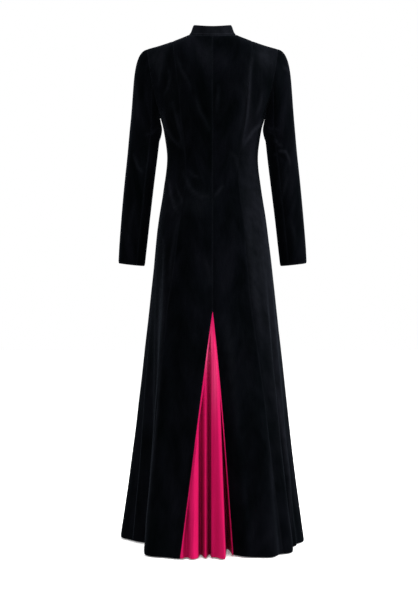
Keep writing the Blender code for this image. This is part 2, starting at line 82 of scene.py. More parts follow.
def smooth_share(t: Grid) -> Grid:
    """0 below 0, 1 above 1, with an even S between."""
    t = np.clip(t, 0.0, 1.0)
    return t * t * (3 - 2 * t)


def mix(a: Grid, b: Grid, share: Grid) -> Grid:
    """The value that lies this share of the way from a to b."""
    return a + (b - a) * share


def bump(distance: Grid, half_width: float) -> Grid:
    """1 at no distance, falling evenly to 0 at half_width."""
    t = np.minimum(1.0, np.abs(distance) / half_width)
    return 0.5 + 0.5 * np.cos(np.pi * t)


def smooth_curve(rows: Sequence[object], column: str, z: Grid) -> Grid:
    """A smooth curve through one column of a table.

    Args:
        rows: Table rows with a z each, running downwards.
        column: The name of the wanted value.
        z: Heights to read the curve at.

    Returns:
        The value at each height.
    """
    heights = np.array([-row.z for row in rows])
    values = np.array([getattr(row, column) for row in rows])
    at = np.clip(-np.asarray(z, dtype=float), heights[0], heights[-1])
    order = np.arange(len(rows))
    low, high = np.maximum(order - 1, 0), np.minimum(order + 1, len(rows) - 1)
    slopes = (values[high] - values[low]) / (heights[high] - heights[low])
    i = np.clip(np.searchsorted(heights, at, side="right") - 1, 0, len(rows) - 2)
    span = heights[i + 1] - heights[i]
    t = (at - heights[i]) / span
    return (
        values[i] * (1 + 2 * t) * (1 - t) ** 2
        + values[i + 1] * t * t * (3 - 2 * t)
        + span * slopes[i] * t * (1 - t) ** 2
        - span * slopes[i + 1] * t * t * (1 - t)
    )


def grid_normals(points: Grid) -> Grid:
    """The unit normal at each point of a grid, columns crossed with rows."""
    down, across = np.gradient(points, axis=0), np.gradient(points, axis=1)
    normals = np.cross(across, down)
    length = np.linalg.norm(normals, axis=-1, keepdims=True)
    return normals / np.maximum(length, TINY)


def lengths_from_start(points: Grid, axis: int) -> Grid:
    """How far each point of a grid lies from its first row or column, along the cloth."""
    steps = np.linalg.norm(np.diff(points, axis=axis), axis=-1)
    zero = np.zeros_like(np.take(steps, [0], axis=axis))
    return np.concatenate([zero, np.cumsum(steps, axis=axis)], axis=axis)


def table(kind: type, columns: str, *rows: tuple) -> tuple:
    """Rows of one kind, from the names of their columns and their values."""
    return tuple(kind(**dict(zip(columns.split(), row))) for row in rows)


# The coat's form, with the sizes of the solids


@dataclass(frozen=True)
class Section:
    """One level of the body: half its width, and y at the back, the front and the side seam."""

    z: float
    half_width: float
    back: float
    front: float
    side_seam: float


@dataclass(frozen=True)
class ArmholePoint:
    """Half the width from armhole to armhole at one level."""

    z: float
    across: float


@dataclass(frozen=True)
class SeamPoint:
    """Where the princess seams lie from the centre line at one level."""

    z: float
    back_left: float
    back_right: float
    front: float


@dataclass(frozen=True)
class Flute:
    """One flare fold of the skirt. Angles run from the centre back, 90 at the side, 180 in front."""

    side: Side
    start_z: float
    angle_top: float
    angle_hem: float
    half_width: float
    depth: float


@dataclass(frozen=True)
class GodetFold:
    """One fold of the godet.

    across is x at the hem, and drift is how much further left the fold starts. left_width lies
    on its +x side.
    """

    across: float
    drift: float
    left_width: float
    right_width: float
    depth: float
    start_share: float


@dataclass(frozen=True)
class SleeveSection:
    """One level of the sleeve: where its middle lies, and its half sizes."""

    z: float
    out: float
    forward: float
    half_width: float
    half_depth: float


@dataclass(frozen=True)
class Crease:
    """A soft ridge, or a trough where height is negative, laid along a given path.

    On the body a path holds (distance from the centre line, z). On a sleeve it holds (degrees
    round from the outer side, by the back, z).
    """

    path: tuple
    half_width: float
    height: float


SECTIONS = table(
    Section,
    "z half_width back front side_seam",
    (0.020, 0.200, 0.092, -0.068, 0.000),
    (-0.050, 0.199, 0.104, -0.084, 0.000),
    (-0.100, 0.196, 0.113, -0.100, 0.000),
    (-0.140, 0.188, 0.117, -0.114, 0.000),
    (-0.190, 0.170, 0.117, -0.130, -0.004),
    (-0.237, 0.149, 0.113, -0.139, -0.008),
    (-0.290, 0.137, 0.101, -0.134, -0.010),
    (-0.356, 0.1305, 0.088, -0.116, -0.010),
    (-0.442, 0.1405, 0.098, -0.113, -0.006),
    (-0.528, 0.1535, 0.127, -0.120, 0.000),
    (-0.643, 0.168, 0.145, -0.132, 0.004),
    (-0.800, 0.185, 0.165, -0.150, 0.006),
    (-1.000, 0.207, 0.197, -0.177, 0.008),
    (-1.217, 0.232, 0.235, -0.210, 0.008),
    (-1.447, 0.263, 0.278, -0.250, 0.008),
)

ARMHOLE = table(
    ArmholePoint,
    "z across",
    (-0.0385, 0.186),
    (-0.084, 0.179),
    (-0.134, 0.172),
    (-0.190, 0.1605),
    (-0.218, 0.153),
    (-0.237, 0.149),
)

PRINCESS_SEAMS = table(
    SeamPoint,
    "z back_left back_right front",
    (-0.020, 0.1136, 0.1136, 0.1136),
    (-0.083, 0.106, 0.109, 0.108),
    (-0.178, 0.095, 0.0975, 0.099),
    (-0.262, 0.087, 0.089, 0.091),
    (-0.327, 0.079, 0.0785, 0.082),
    (-0.400, 0.076, 0.074, 0.078),
    (-0.471, 0.082, 0.08, 0.083),
    (-0.540, 0.092, 0.0875, 0.092),
    (-0.629, 0.104, 0.094, 0.103),
    (-0.800, 0.125, 0.1087, 0.12),
    (-1.045, 0.147, 0.141, 0.14),
    (-1.447, 0.19, 0.188, 0.178),
)

FLUTES = table(
    Flute,
    "side start_z angle_top angle_hem half_width depth",
    (Side.LEFT, -0.80, 8, 17, 16, 0.020),
    (Side.LEFT, -0.56, 42, 34, 13, 0.020),
    (Side.LEFT, -0.56, 60, 56, 16, -0.035),
    (Side.LEFT, -0.56, 74, 74, 28, -0.085),
    (Side.LEFT, -0.56, 105, 105, 14, 0.012),
    (Side.LEFT, -0.62, 122, 122, 17, -0.052),
    (Side.LEFT, -0.62, 142, 142, 15, 0.018),
    (Side.RIGHT, -0.85, 4, 8, 12, -0.050),
    (Side.RIGHT, -0.62, 36, 31, 13, 0.026),
    (Side.RIGHT, -0.56, 52, 49, 10, 0.012),
    (Side.RIGHT, -0.62, 64, 64, 11, -0.045),
    (Side.RIGHT, -0.60, 78, 78, 12, -0.022),
    (Side.RIGHT, -0.62, 115, 115, 17, -0.050),
    (Side.RIGHT, -0.62, 138, 138, 16, 0.020),
)

GODET_FOLDS = table(
    GodetFold,
    "across drift left_width right_width depth start_share",
    (0.070, 0, 0.012, 0.014, -0.016, 0.10),
    (0.050, 0, 0.022, 0.011, 0.012, 0.15),
    (0.0332, 0, 0.008, 0.013, -0.048, 0.20),
    (0.0083, 0, 0.010, 0.0055, -0.044, 0),
    (-0.033, 0.024, 0.034, 0.006, 0.046, 0.10),
    (-0.0395, 0.024, 0.007, 0.018, -0.1, 0.2),
)

SLEEVE_SECTIONS = table(
    SleeveSection,
    "z out forward half_width half_depth",
    (-0.270, 0.1930, -0.003, 0.0440, 0.0580),
    (-0.340, 0.2003, -0.002, 0.0432, 0.0545),
    (-0.420, 0.2092, -0.002, 0.0425, 0.0510),
    (-0.520, 0.2208, -0.013, 0.0415, 0.0470),
    (-0.600, 0.2293, -0.032, 0.0402, 0.0435),
    (-0.655, 0.2350, -0.047, 0.0388, 0.0415),
)


@dataclass(frozen=True)
class CoatForm:
    """The coat's outer surface, filled out as on the wearer.

    q runs from 0 at the centre line to 1 at the armhole or side seam. v runs from 0 at the
    neckline and shoulder seam to 1 at the underarm, and on to 2 at the hem.
    """

    hem_z: float = -1.447
    underarm_z: float = -0.237
    neck_half_width: float = 0.070
    neck_back: float = 0.066
    neck_back_drop: float = 0.011
    neck_front: float = 0.062
    neck_front_drop: float = 0.072
    neck_share: float = 0.36
    neck_curve: float = 1.5
    shoulder_x: float = 0.186
    shoulder_drop: float = 0.0385
    shoulder_sag: float = 0.003
    shoulder_rounding: float = 0.070
    neck_rounding: float = 0.115
    section_power: float = 2.25
    fullness_radius: float = 0.085
    bust: tuple = (0.085, -0.262, 0.011)
    blade: tuple = (0.085, -0.130, 0.005)
    flute_growth: float = 1.25
    vent_top_z: float = -0.787
    vent_spread_left: float = 0.082
    vent_spread_right: float = 0.064
    vent_curve: float = 0.92
    normal_step: float = 0.01
    search_steps: int = 30
    seam_steps: int = 8

    def top_edge(self, face: Face, q: Grid) -> tuple[Grid, Grid, Grid]:
        """x, y and z of the neckline or the shoulder seam at q."""
        angle = math.pi / 2 * np.minimum(q / self.neck_share, 1.0)
        back = face is Face.BACK
        reach = self.neck_back if back else -self.neck_front
        fall = self.neck_back_drop if back else self.neck_front_drop
        cosine = np.maximum(np.cos(angle), 0.0)
        along = np.clip((q - self.neck_share) / (1 - self.neck_share), 0.0, 1.0)
        drop = self.shoulder_drop * along + self.shoulder_sag * np.sin(math.pi * along)
        beyond = mix(self.neck_half_width, self.shoulder_x, along)
        on_neck = q < self.neck_share
        x = np.where(on_neck, self.neck_half_width * np.sin(angle), beyond)
        y = np.where(on_neck, reach * cosine, 0.0)
        z = np.where(on_neck, -fall * cosine**self.neck_curve, -drop)
        return x, y, z

    def height(self, face: Face, q: Grid, v: Grid) -> Grid:
        """z of row v in column q."""
        upper = mix(self.top_edge(face, q)[2], self.underarm_z, v * v)
        return np.where(v <= 1, upper, mix(self.underarm_z, self.hem_z, v - 1))

    def across(self, face: Face, q: Grid, v: Grid) -> Grid:
        """x of row v in column q, before any flute."""
        round_share = np.sin(math.pi / 2 * np.clip(q, 0, 1)) ** (2 / self.section_power)
        lower = smooth_curve(SECTIONS, "half_width", self.height(face, q, v)) * round_share
        armhole = smooth_curve(ARMHOLE, "across", self.height(face, np.ones_like(q), v))
        top_share = self.top_edge(face, q)[0] / self.shoulder_x
        upper = armhole * mix(top_share, round_share, smooth_share(v))
        return np.where(v >= 1, lower, upper)

    def depth(self, face: Face, x: Grid, z: Grid) -> Grid:
        """y of the full section at x and z, before the shoulders round it over."""
        across = np.minimum(1.0, x / smooth_curve(SECTIONS, "half_width", z))
        seam = smooth_curve(SECTIONS, "side_seam", z)
        centre = smooth_curve(SECTIONS, "back" if face is Face.BACK else "front", z)
        full = (1 - across**self.section_power) ** (1 / self.section_power)
        return mix(seam, centre, full)

    def fullness(self, face: Face, x: Grid, z: Grid) -> Grid:
        """How far the bust or the shoulder blade stands out of the section."""
        at_x, at_z, rise = self.bust if face is Face.FRONT else self.blade
        return rise * bump(np.hypot(x - at_x, z - at_z), self.fullness_radius)

    def flute_push(self, side: Grid, angle: Grid, z: Grid) -> Grid:
        """How far the skirt's flutes push the cloth out, or in where it is negative."""
        total = np.zeros_like(angle)
        for flute in FLUTES:
            down = np.clip((flute.start_z - z) / (flute.start_z - self.hem_z), 0.0, 1.0)
            centre = mix(flute.angle_top, flute.angle_hem, down)
            push = flute.depth * down**self.flute_growth * bump(angle - centre, flute.half_width)
            total += np.where(side == flute.side.value, push, 0.0)
        return total

    def point(self, side: Side, face: Face, q: Grid, v: Grid) -> Grid:
        """Points of the outer surface.

        Args:
            side: The wearer's side.
            face: Back or front.
            q: Shares from the centre line. Below 0 they lie past it.
            v: Shares down the coat.

        Returns:
            An array with x, y and z last.
        """
        q, v = np.broadcast_arrays(np.asarray(q, float), np.asarray(v, float))
        hand = side.value * np.where(q < 0, -1.0, 1.0)
        q = np.abs(q)
        z = self.height(face, q, v)
        x = self.across(face, q, v)
        y = self.depth(face, x, z) + face.value * self.fullness(face, x, z)
        _, y_top, z_top = self.top_edge(face, q)
        on_shoulder = smooth_share(q / self.neck_share)
        rounding = mix(self.neck_rounding, self.shoulder_rounding, on_shoulder)
        slope = 1 - (1 - np.clip((z_top - z) / rounding, 0.0, 1.0)) ** 2
        rounded = mix(y_top, y, mix(slope, np.sqrt(slope), on_shoulder))
        y = np.where(v < 1, rounded, y)
        turn = 90 * q if face is Face.BACK else 180 - 90 * q
        out = self.flute_push(hand, turn, z)
        angle = np.radians(turn)
        return np.stack([hand * (x + out * np.sin(angle)), y + out * np.cos(angle), z], axis=-1)

    def normal(self, side: Side, face: Face, q: Grid, v: Grid) -> Grid:
        """The outward unit normal of the surface."""
        q, v = np.broadcast_arrays(np.asarray(q, float), np.asarray(v, float))
        step = self.normal_step
        q_low = np.where(q >= 0, np.maximum(q - step, 0.0), q - step)
        along = self.point(side, face, np.minimum(q + step, 1.0), v)
        along = along - self.point(side, face, q_low, v)
        down = self.point(side, face, q, np.minimum(v + step, 2.0))
        down = down - self.point(side, face, q, np.maximum(v - step, 0.0))
        normal = np.cross(along, down) * side.value * face.value
        return normal / np.maximum(np.linalg.norm(normal, axis=-1, keepdims=True), TINY)

    def share_for(self, face: Face, x: Grid, v: Grid) -> Grid:
        """The q at which row v lies x from the centre line."""
        low, high = np.zeros_like(v), np.ones_like(v)
        for _ in range(self.search_steps):
            middle = (low + high) / 2
            inside = self.across(face, middle, v) < x
            low, high = np.where(inside, middle, low), np.where(inside, high, middle)
        return (low + high) / 2

    def princess_share(self, side: Side, face: Face, v: Grid) -> Grid:
        """The q of the princess seam in each row."""
        column = f"back_{side.name.lower()}" if face is Face.BACK else "front"
        q = np.full_like(v, 0.5)
        for _ in range(self.seam_steps):
            q = self.share_for(face, smooth_curve(PRINCESS_SEAMS, column, self.height(face, q, v)), v)
        return q

    def vent_half_width(self, side: Side, z: Grid) -> Grid:
        """How far this side's edge of the vent stands from the centre back."""
        spread = self.vent_spread_left if side is Side.LEFT else self.vent_spread_right
        down = np.clip((self.vent_top_z - z) / (self.vent_top_z - self.hem_z), 0.0, 1.0)
        return spread * down**self.vent_curve

    def row_at(self, z: Grid) -> Grid:
        """The v of a level below the underarm."""
        return 1 + (self.underarm_z - z) / (self.underarm_z - self.hem_z)


# Creases laid one by one, as the cloth shows them


BACK_CREASES = {
    Side.LEFT: table(
        Crease,
        "path half_width height",
        (((0.139, -0.084), (0.148, -0.117), (0.152, -0.160)), 0.006, 0.0014),
        (((0.125, -0.108), (0.119, -0.136), (0.125, -0.161), (0.139, -0.184)), 0.004, 0.0016),
        (((0.108, -0.063), (0.088, -0.115), (0.066, -0.155), (0.060, -0.178)), 0.005, 0.0013),
        (((0.114, -0.197), (0.097, -0.263), (0.082, -0.335)), 0.005, 0.0018),
        (((0.141, -0.210), (0.132, -0.264), (0.115, -0.299), (0.089, -0.329)), 0.0042, 0.0028),
        (((0.131, -0.227), (0.109, -0.278), (0.092, -0.307)), 0.007, -0.003),
        (((0.052, -0.184), (0.035, -0.233), (0.018, -0.266), (0.007, -0.288)), 0.006, 0.0015),
        (((0.124, -0.411), (0.117, -0.459), (0.107, -0.497), (0.094, -0.518)), 0.0034, 0.0032),
        (((0.113, -0.418), (0.106, -0.457), (0.097, -0.489)), 0.003, -0.0018),
        (((0.107, -0.425), (0.094, -0.460), (0.083, -0.486)), 0.003, 0.0016),
        (((0.086, -0.392), (0.063, -0.447), (0.035, -0.470), (0.004, -0.467)), 0.006, 0.0016),
        (((0.072, -0.392), (0.052, -0.410), (0.032, -0.416)), 0.0045, 0.0014),
        (((0.147, -0.548), (0.135, -0.606), (0.136, -0.758), (0.140, -0.897)), 0.0036, 0.0018),
        (((0.138, -0.850), (0.150, -1.047), (0.159, -1.175), (0.172, -1.291)), 0.0036, 0.0018),
        (((0.165, -1.240), (0.172, -1.291), (0.184, -1.385)), 0.0036, 0.0014),
        (((0.094, -0.523), (0.106, -0.579), (0.117, -0.652), (0.120, -0.730)), 0.004, 0.0012),
        (((0.026, -0.620), (0.012, -0.681), (0.004, -0.725)), 0.006, 0.0008),
    ),
    Side.RIGHT: table(
        Crease,
        "path half_width height",
        (((0.115, -0.051), (0.105, -0.115), (0.101, -0.176), (0.097, -0.231), (0.080, -0.341)),
         0.0048, 0.0026),
        (((0.094, -0.187), (0.085, -0.248), (0.077, -0.308)), 0.006, -0.0022),
        (((0.139, -0.167), (0.134, -0.206), (0.123, -0.239)), 0.005, 0.0014),
        (((0.147, -0.233), (0.135, -0.258), (0.112, -0.283), (0.086, -0.324)), 0.0046, 0.003),
        (((0.126, -0.249), (0.106, -0.268), (0.091, -0.291)), 0.005, -0.0026),
        (((0.017, -0.156), (0.014, -0.195), (0.011, -0.234)), 0.005, 0.0012),
        (((0.001, -0.473), (0.015, -0.456), (0.032, -0.433)), 0.0045, 0.0015),
        (((0.044, -0.337), (0.066, -0.358), (0.072, -0.398)), 0.006, 0.001),
        (((0.094, -0.477), (0.104, -0.619), (0.121, -0.758), (0.143, -0.897)), 0.01, 0.001),
        (((0.034, -0.791), (0.045, -0.895), (0.059, -1.031), (0.069, -1.138)), 0.012, 0.0008),
        (((0.171, -0.970), (0.193, -1.090), (0.206, -1.182), (0.216, -1.259), (0.220, -1.431)),
         0.004, 0.0024),
        (((0.209, -1.123), (0.228, -1.252), (0.245, -1.401)), 0.0036, 0.0014),
    ),
}

FRONT_CREASES = {
    Side.LEFT: table(
        Crease,
        "path half_width height",
        (((0.140, -0.205), (0.130, -0.234), (0.112, -0.256), (0.096, -0.270)), 0.0045, 0.0024),
        (((0.128, -0.222), (0.116, -0.240), (0.098, -0.254)), 0.0050, -0.0022),
        (((0.134, -0.110), (0.140, -0.150), (0.134, -0.190)), 0.0060, 0.0014),
        (((0.120, -0.345), (0.098, -0.366), (0.076, -0.372)), 0.0055, 0.0014),
        (((0.086, -0.392), (0.062, -0.438), (0.034, -0.452)), 0.0060, 0.0014),
        (((0.124, -0.412), (0.116, -0.458), (0.104, -0.500)), 0.0036, 0.0028),
        (((0.113, -0.420), (0.105, -0.458), (0.096, -0.490)), 0.0034, -0.0018),
        (((0.100, -0.560), (0.104, -0.700), (0.118, -0.860)), 0.0090, 0.0010),
        (((0.050, -0.620), (0.056, -0.800), (0.070, -1.000)), 0.0100, 0.0008),
    ),
    Side.RIGHT: table(
        Crease,
        "path half_width height",
        (((0.138, -0.212), (0.126, -0.244), (0.106, -0.264), (0.092, -0.276)), 0.0045, 0.0022),
        (((0.124, -0.230), (0.110, -0.248), (0.096, -0.260)), 0.0050, -0.0020),
        (((0.128, -0.104), (0.134, -0.142), (0.130, -0.180)), 0.0060, 0.0012),
        (((0.118, -0.352), (0.094, -0.370), (0.070, -0.374)), 0.0055, 0.0014),
        (((0.080, -0.410), (0.056, -0.442), (0.030, -0.450)), 0.0060, 0.0014),
        (((0.126, -0.416), (0.118, -0.460), (0.106, -0.505)), 0.0036, 0.0026),
        (((0.115, -0.424), (0.107, -0.462), (0.098, -0.494)), 0.0034, -0.0018),
        (((0.108, -0.580), (0.116, -0.720), (0.130, -0.880)), 0.0090, 0.0010),
        (((0.060, -0.560), (0.062, -0.740), (0.074, -0.960)), 0.0100, 0.0008),
    ),
}

SLEEVE_CREASES = {
    Side.LEFT: table(
        Crease,
        "path half_width height",
        (((150, -0.262), (118, -0.286), (92, -0.292)), 0.0050, 0.0014),
        (((156, -0.300), (124, -0.318), (100, -0.322)), 0.0050, -0.0022),
        (((158, -0.262), (161, -0.330), (152, -0.420)), 0.0060, 0.0016),
        (((54, -0.338), (81, -0.383), (107, -0.400)), 0.0045, 0.0020),
        (((44, -0.140), (58, -0.200), (62, -0.250)), 0.0060, 0.0010),
        (((84, -0.470), (72, -0.540), (76, -0.600)), 0.0070, 0.0010),
        (((215, -0.395), (250, -0.408), (288, -0.402)), 0.0060, -0.0030),
        (((219, -0.410), (256, -0.424), (294, -0.415)), 0.0045, 0.0022),
        (((222, -0.425), (262, -0.440), (300, -0.428)), 0.0060, -0.0026),
        (((250, -0.250), (282, -0.236), (300, -0.200)), 0.0060, 0.0018),
        (((178, -0.237), (180, -0.262), (182, -0.300)), 0.0180, 0.0045),
    ),
    Side.RIGHT: table(
        Crease,
        "path half_width height",
        (((149, -0.271), (118, -0.293), (110, -0.316), (88, -0.324)), 0.0040, 0.0026),
        (((152, -0.258), (126, -0.272), (96, -0.276)), 0.0045, 0.0018),
        (((140, -0.284), (108, -0.300), (84, -0.304)), 0.0045, -0.0028),
        (((132, -0.349), (104, -0.336), (82, -0.338), (71, -0.360), (69, -0.377)), 0.0042, 0.0026),
        (((126, -0.330), (98, -0.352), (84, -0.366)), 0.0045, -0.0024),
        (((84, -0.400), (108, -0.456), (126, -0.484)), 0.0060, 0.0014),
        (((62, -0.097), (46, -0.100), (30, -0.106)), 0.0060, 0.0016),
        (((92, -0.520), (80, -0.570), (84, -0.620)), 0.0070, 0.0010),
        (((220, -0.390), (252, -0.404), (290, -0.396)), 0.0060, -0.0028),
        (((218, -0.406), (254, -0.422), (292, -0.414)), 0.0045, 0.0022),
        (((216, -0.430), (256, -0.446), (296, -0.436)), 0.0060, -0.0026),
        (((252, -0.242), (284, -0.226), (304, -0.190)), 0.0060, 0.0016),
        (((178, -0.237), (180, -0.262), (182, -0.300)), 0.0180, 0.0045),
    ),
}


# How sharply a crease fades out towards its ends, as a power
END_TAPER = 0.6


def crease_relief(creases: Sequence[Crease], across: Grid, z: Grid) -> Grid:
    """The height of a set of creases over a surface.

    Args:
        creases: Paths in the same coordinates as across and z, in metres.
        across: The first coordinate of each point.
        z: The second coordinate of each point.

    Returns:
        How far each point is moved out.
    """
    total = np.zeros_like(across)
    for crease in creases:
        path = np.array(crease.path, dtype=float)
        spans = np.linalg.norm(np.diff(path, axis=0), axis=1)
        nearest = np.full_like(across, np.inf)
        place = np.zeros_like(across)
        run = 0.0
        for start, end, span in zip(path[:-1], path[1:], spans):
            way = (end - start) / span
            along = np.clip((across - start[0]) * way[0] + (z - start[1]) * way[1], 0.0, span)
            away = np.hypot(across - start[0] - way[0] * along, z - start[1] - way[1] * along)
            closer = away < nearest
            nearest = np.where(closer, away, nearest)
            place = np.where(closer, (run + along) / spans.sum(), place)
            run += span
        taper = np.sin(np.pi * np.clip(place, 0.0, 1.0)) ** END_TAPER
        total += crease.height * taper * np.exp(-((nearest / crease.half_width) ** 2))
    return total


@dataclass(frozen=True)
class PaintedHighlightPatch:
    """A soft patch of cloth painted lighter, as a highlight where the light falls on it.

    Attributes:
        across: Its middle, as a distance out from the centre line, or across the godet.
        z: Its middle's height.
        half_width: How far it spreads sideways.
        half_height: How far it spreads up and down.
        share: How strong the painted highlight is, 0 to 1.
        part: The panel that it lies on: centre, side or both.
    """

    across: float
    z: float
    half_width: float
    half_height: float
    share: float
    part: str = "both"


# Painted highlights: the shoulders' tops and the right side where the light falls, and a few soft lighter
# patches on the back
VELVET_HIGHLIGHT_PATCHES = {
    Side.LEFT: table(
        PaintedHighlightPatch,
        "across z half_width half_height share part",
        (0.155, -0.080, 0.022, 0.035, 0.30, "both"),
        (0.055, -0.485, 0.060, 0.032, 0.14, "both"),
        (0.010, -0.070, 0.040, 0.045, 0.14, "both"),
        (0.110, -0.180, 0.030, 0.060, 0.08, "both"),
        (0.120, -0.480, 0.035, 0.120, 0.09, "side"),
    ),
    Side.RIGHT: table(
        PaintedHighlightPatch,
        "across z half_width half_height share part",
        (0.150, -0.075, 0.028, 0.040, 0.30, "both"),
        (0.095, -0.200, 0.014, 0.090, 0.12, "both"),
        (0.120, -0.430, 0.045, 0.150, 0.24, "side"),
        (0.150, -0.640, 0.045, 0.160, 0.32, "side"),
        (0.200, -0.900, 0.040, 0.220, 0.28, "side"),
    ),
}

# Painted highlights on the crepe's upper folds, where the light falls
CREPE_HIGHLIGHT_PATCHES = table(
    PaintedHighlightPatch,
    "across z half_width half_height share",
    (0.017, -0.890, 0.008, 0.050, 0.80),
    (0.003, -0.870, 0.003, 0.040, 0.40),
    (-0.005, -0.970, 0.008, 0.090, 0.30),
)


def highlight_patch_share(patches: Sequence[PaintedHighlightPatch], across: Grid, z: Grid, part: str) -> Grid:
    """How much painted highlight a set of patches gives each point of a part."""
    total = np.zeros_like(across)
    for patch in patches:
        if patch.part in ("both", part):
            sideways = (across - patch.across) / patch.half_width
            upwards = (z - patch.z) / patch.half_height
            total += patch.share * np.exp(-(sideways**2) - upwards**2)
    return total


@dataclass(frozen=True)
class Wave:
    """A faint wave of hanging cloth: its radians per metre across and up, height and start."""

    per_across: float
    per_up: float
    height: float
    start: float


WAVES = table(
    Wave,
    "per_across per_up height start",
    (31.0, 6.0, 0.00030, 0.3),
    (-47.0, 11.0, 0.00022, 1.9),
    (83.0, 19.0, 0.00014, 4.1),
    (22.0, -37.0, 0.00016, 2.6),
)


def cloth_ripple(across: Grid, z: Grid, phase: float) -> Grid:
    """Faint uneven waves of hanging cloth, under a millimetre high."""
    total = np.zeros_like(across)
    for wave in WAVES:
        total += wave.height * np.sin(wave.per_across * across + wave.per_up * z + wave.start + phase)
    return total


# Sheets of cloth


@dataclass(frozen=True)
class EdgeTurn:
    """How an edge turns in and how its pile is pressed.

    Attributes:
        roll: How far the very edge goes in.
        roll_width: How far from the edge that starts.
        sheen_width: How far from the edge the painted sheen of the pressed pile reaches.
        sheen_share: How strong that painted sheen is, 0 to 1.
        sheen_share: How strongly it is pressed, 0 to 1.
    """

    roll: float
    roll_width: float
    sheen_width: float
    sheen_share: float


@dataclass
class ClothSheet:
    """One cut piece as a fine sheet with a wall behind it.

    Attributes:
        name, node: The piece's name, and the CAD node that it stands for.
        points: The outer surface, rows down and columns across.
        wall: The cloth's thickness.
        outward: 1 where columns crossed with rows point outwards, and -1 where they point in.
        slot, held: The record's material slot, and how the cloth is held.
        painted_sheen: How much painted sheen each point takes, 0 to 1: the light caught by the pressed pile
            at seams, by crests and by some patches.
        cut_place: Where on the cloth the piece was cut, so that no two share a nap.
        slope_reach: How far from an edge its slope is read, nearest and farthest.
        least_share: The least share of an allowance that a point takes, so that no face closes up.
        crest_height, crest_sheen_share: The crest height that takes the full painted sheen, and how strong
            that sheen is.
        most_drawn: The most of its first step that an edge is drawn in.
        sharp_angle: The degrees from which an edge is shaded sharp.
    """

    name: str
    node: str
    points: Grid
    wall: float
    outward: float = 1.0
    slot: str = "black_velvet"
    held: Held = Held.HUNG
    painted_sheen: Optional[Grid] = None
    cut_place: tuple = (0.0, 0.0)
    slope_reach: tuple = (0.005, 0.012)
    least_share: float = 0.04
    crest_height: float = 0.0030
    crest_sheen_share: float = 0.45
    most_drawn: float = 0.4
    sharp_angle: float = 70.0

    def __post_init__(self) -> None:
        """Starts with no painted sheen anywhere."""
        if self.painted_sheen is None:
            self.painted_sheen = np.zeros(self.points.shape[:2])

    def face_towards(self, way: Sequence[float]) -> None:
        """Sets which side is outward, by the way that the middle of the sheet faces."""
        rows, columns = self.points.shape[:2]
        normal = grid_normals(self.points)[rows // 2, columns // 2]
        self.outward = 1.0 if float(np.dot(normal, way)) > 0 else -1.0

    def from_edge(self, edge: str) -> Grid:
        """How far each point lies from an edge: top, bottom, first or last."""
        axis = 0 if edge in ("top", "bottom") else 1
        away = lengths_from_start(self.points, axis)
        if edge in ("bottom", "last"):
            away = np.take(away, [-1], axis=axis) - away
        return away

    def paint_edge_sheen(self, edge: str, width: float, share: float) -> None:
        """Paints sheen on the pressed pile beside an edge, as the light that it catches."""
        added_sheen = share * np.exp(-((self.from_edge(edge) / width) ** 2))
        self.painted_sheen = np.maximum(self.painted_sheen, added_sheen)

    def extend(self, edge: str, profile: Sequence[tuple[float, float]], share: Grid = 1.0) -> None:
        """Adds cloth past an edge, as a seam allowance or a turned hem.

        Args:
            edge: top, bottom, first or last.
            profile: Steps as (distance past the edge, depth behind it).
            share: How much of each step a point of the edge takes.
        """
        axis = 0 if edge in ("top", "bottom") else 1
        step = 1 if edge in ("top", "first") else -1
        rows = np.moveaxis(self.points, axis, 0)[::step]
        painted_sheen = np.moveaxis(self.painted_sheen, axis, 0)[::step]
        normals = np.moveaxis(grid_normals(self.points) * self.outward, axis, 0)[::step]
        away = np.moveaxis(self.from_edge(edge), axis, 0)[::step].mean(axis=1)
        near, far = (min(int(np.searchsorted(away, d)), len(away) - 1) for d in self.slope_reach)
        past = rows[near] - rows[max(far, near + 1)]
        past = past / np.maximum(np.linalg.norm(past, axis=-1, keepdims=True), TINY)
        share = (np.zeros(len(past)) + np.maximum(share, self.least_share))[:, None]
        added = [rows[0] + (past * out - normals[near] * depth) * share for out, depth in profile]
        rows = np.concatenate([np.array(added[::-1]), rows])[::step]
        painted_sheen = np.concatenate([np.repeat(painted_sheen[:1], len(added), axis=0), painted_sheen])[::step]
        self.points = np.moveaxis(rows, 0, axis)
        self.painted_sheen = np.moveaxis(painted_sheen, 0, axis)

    def brush(self, relief: Grid, full: Optional[float] = None, share: Optional[float] = None) -> None:
        """Paints sheen along crests, as the highlight that their slopes catch, most where a relief stands out
        by the full height.
        """
        full, share = full or self.crest_height, share or self.crest_sheen_share
        self.painted_sheen = np.minimum(1.0, self.painted_sheen + share * np.clip(relief / full, 0.0, 1.0))

    def raise_by(self, height: Grid) -> None:
        """Moves the surface out by a height at each point."""
        normals = grid_normals(self.points) * self.outward
        self.points = self.points + normals * height[..., None]

    def roll_edge(self, edge: str, depth: Grid, width: float) -> None:
        """Turns an edge softly in, as at a pressed seam or a hem.

        Args:
            edge: top, bottom, first or last.
            depth: How far the very edge goes in.
            width: How far from the edge the roll starts.
        """
        self.raise_by(-depth * np.exp(-((self.from_edge(edge) / width) ** 2)))

    def turn_in(self, edge: str, turn: EdgeTurn) -> None:
        """Rolls an edge and paints sheen on its pressed pile."""
        self.roll_edge(edge, turn.roll, turn.roll_width)
        self.paint_edge_sheen(edge, turn.sheen_width, turn.sheen_share)

    def draw_in(self, edge: str, distance: Grid) -> None:
        """Moves a side edge into its own piece, so that two pieces leave a seam."""
        edge_column, beside = (0, 1) if edge == "first" else (-1, -2)
        step = self.points[:, beside] - self.points[:, edge_column]
        length = np.maximum(np.linalg.norm(step, axis=-1, keepdims=True), TINY)
        move = np.minimum(distance, self.most_drawn * length)
        self.points[:, edge_column] += step / length * move

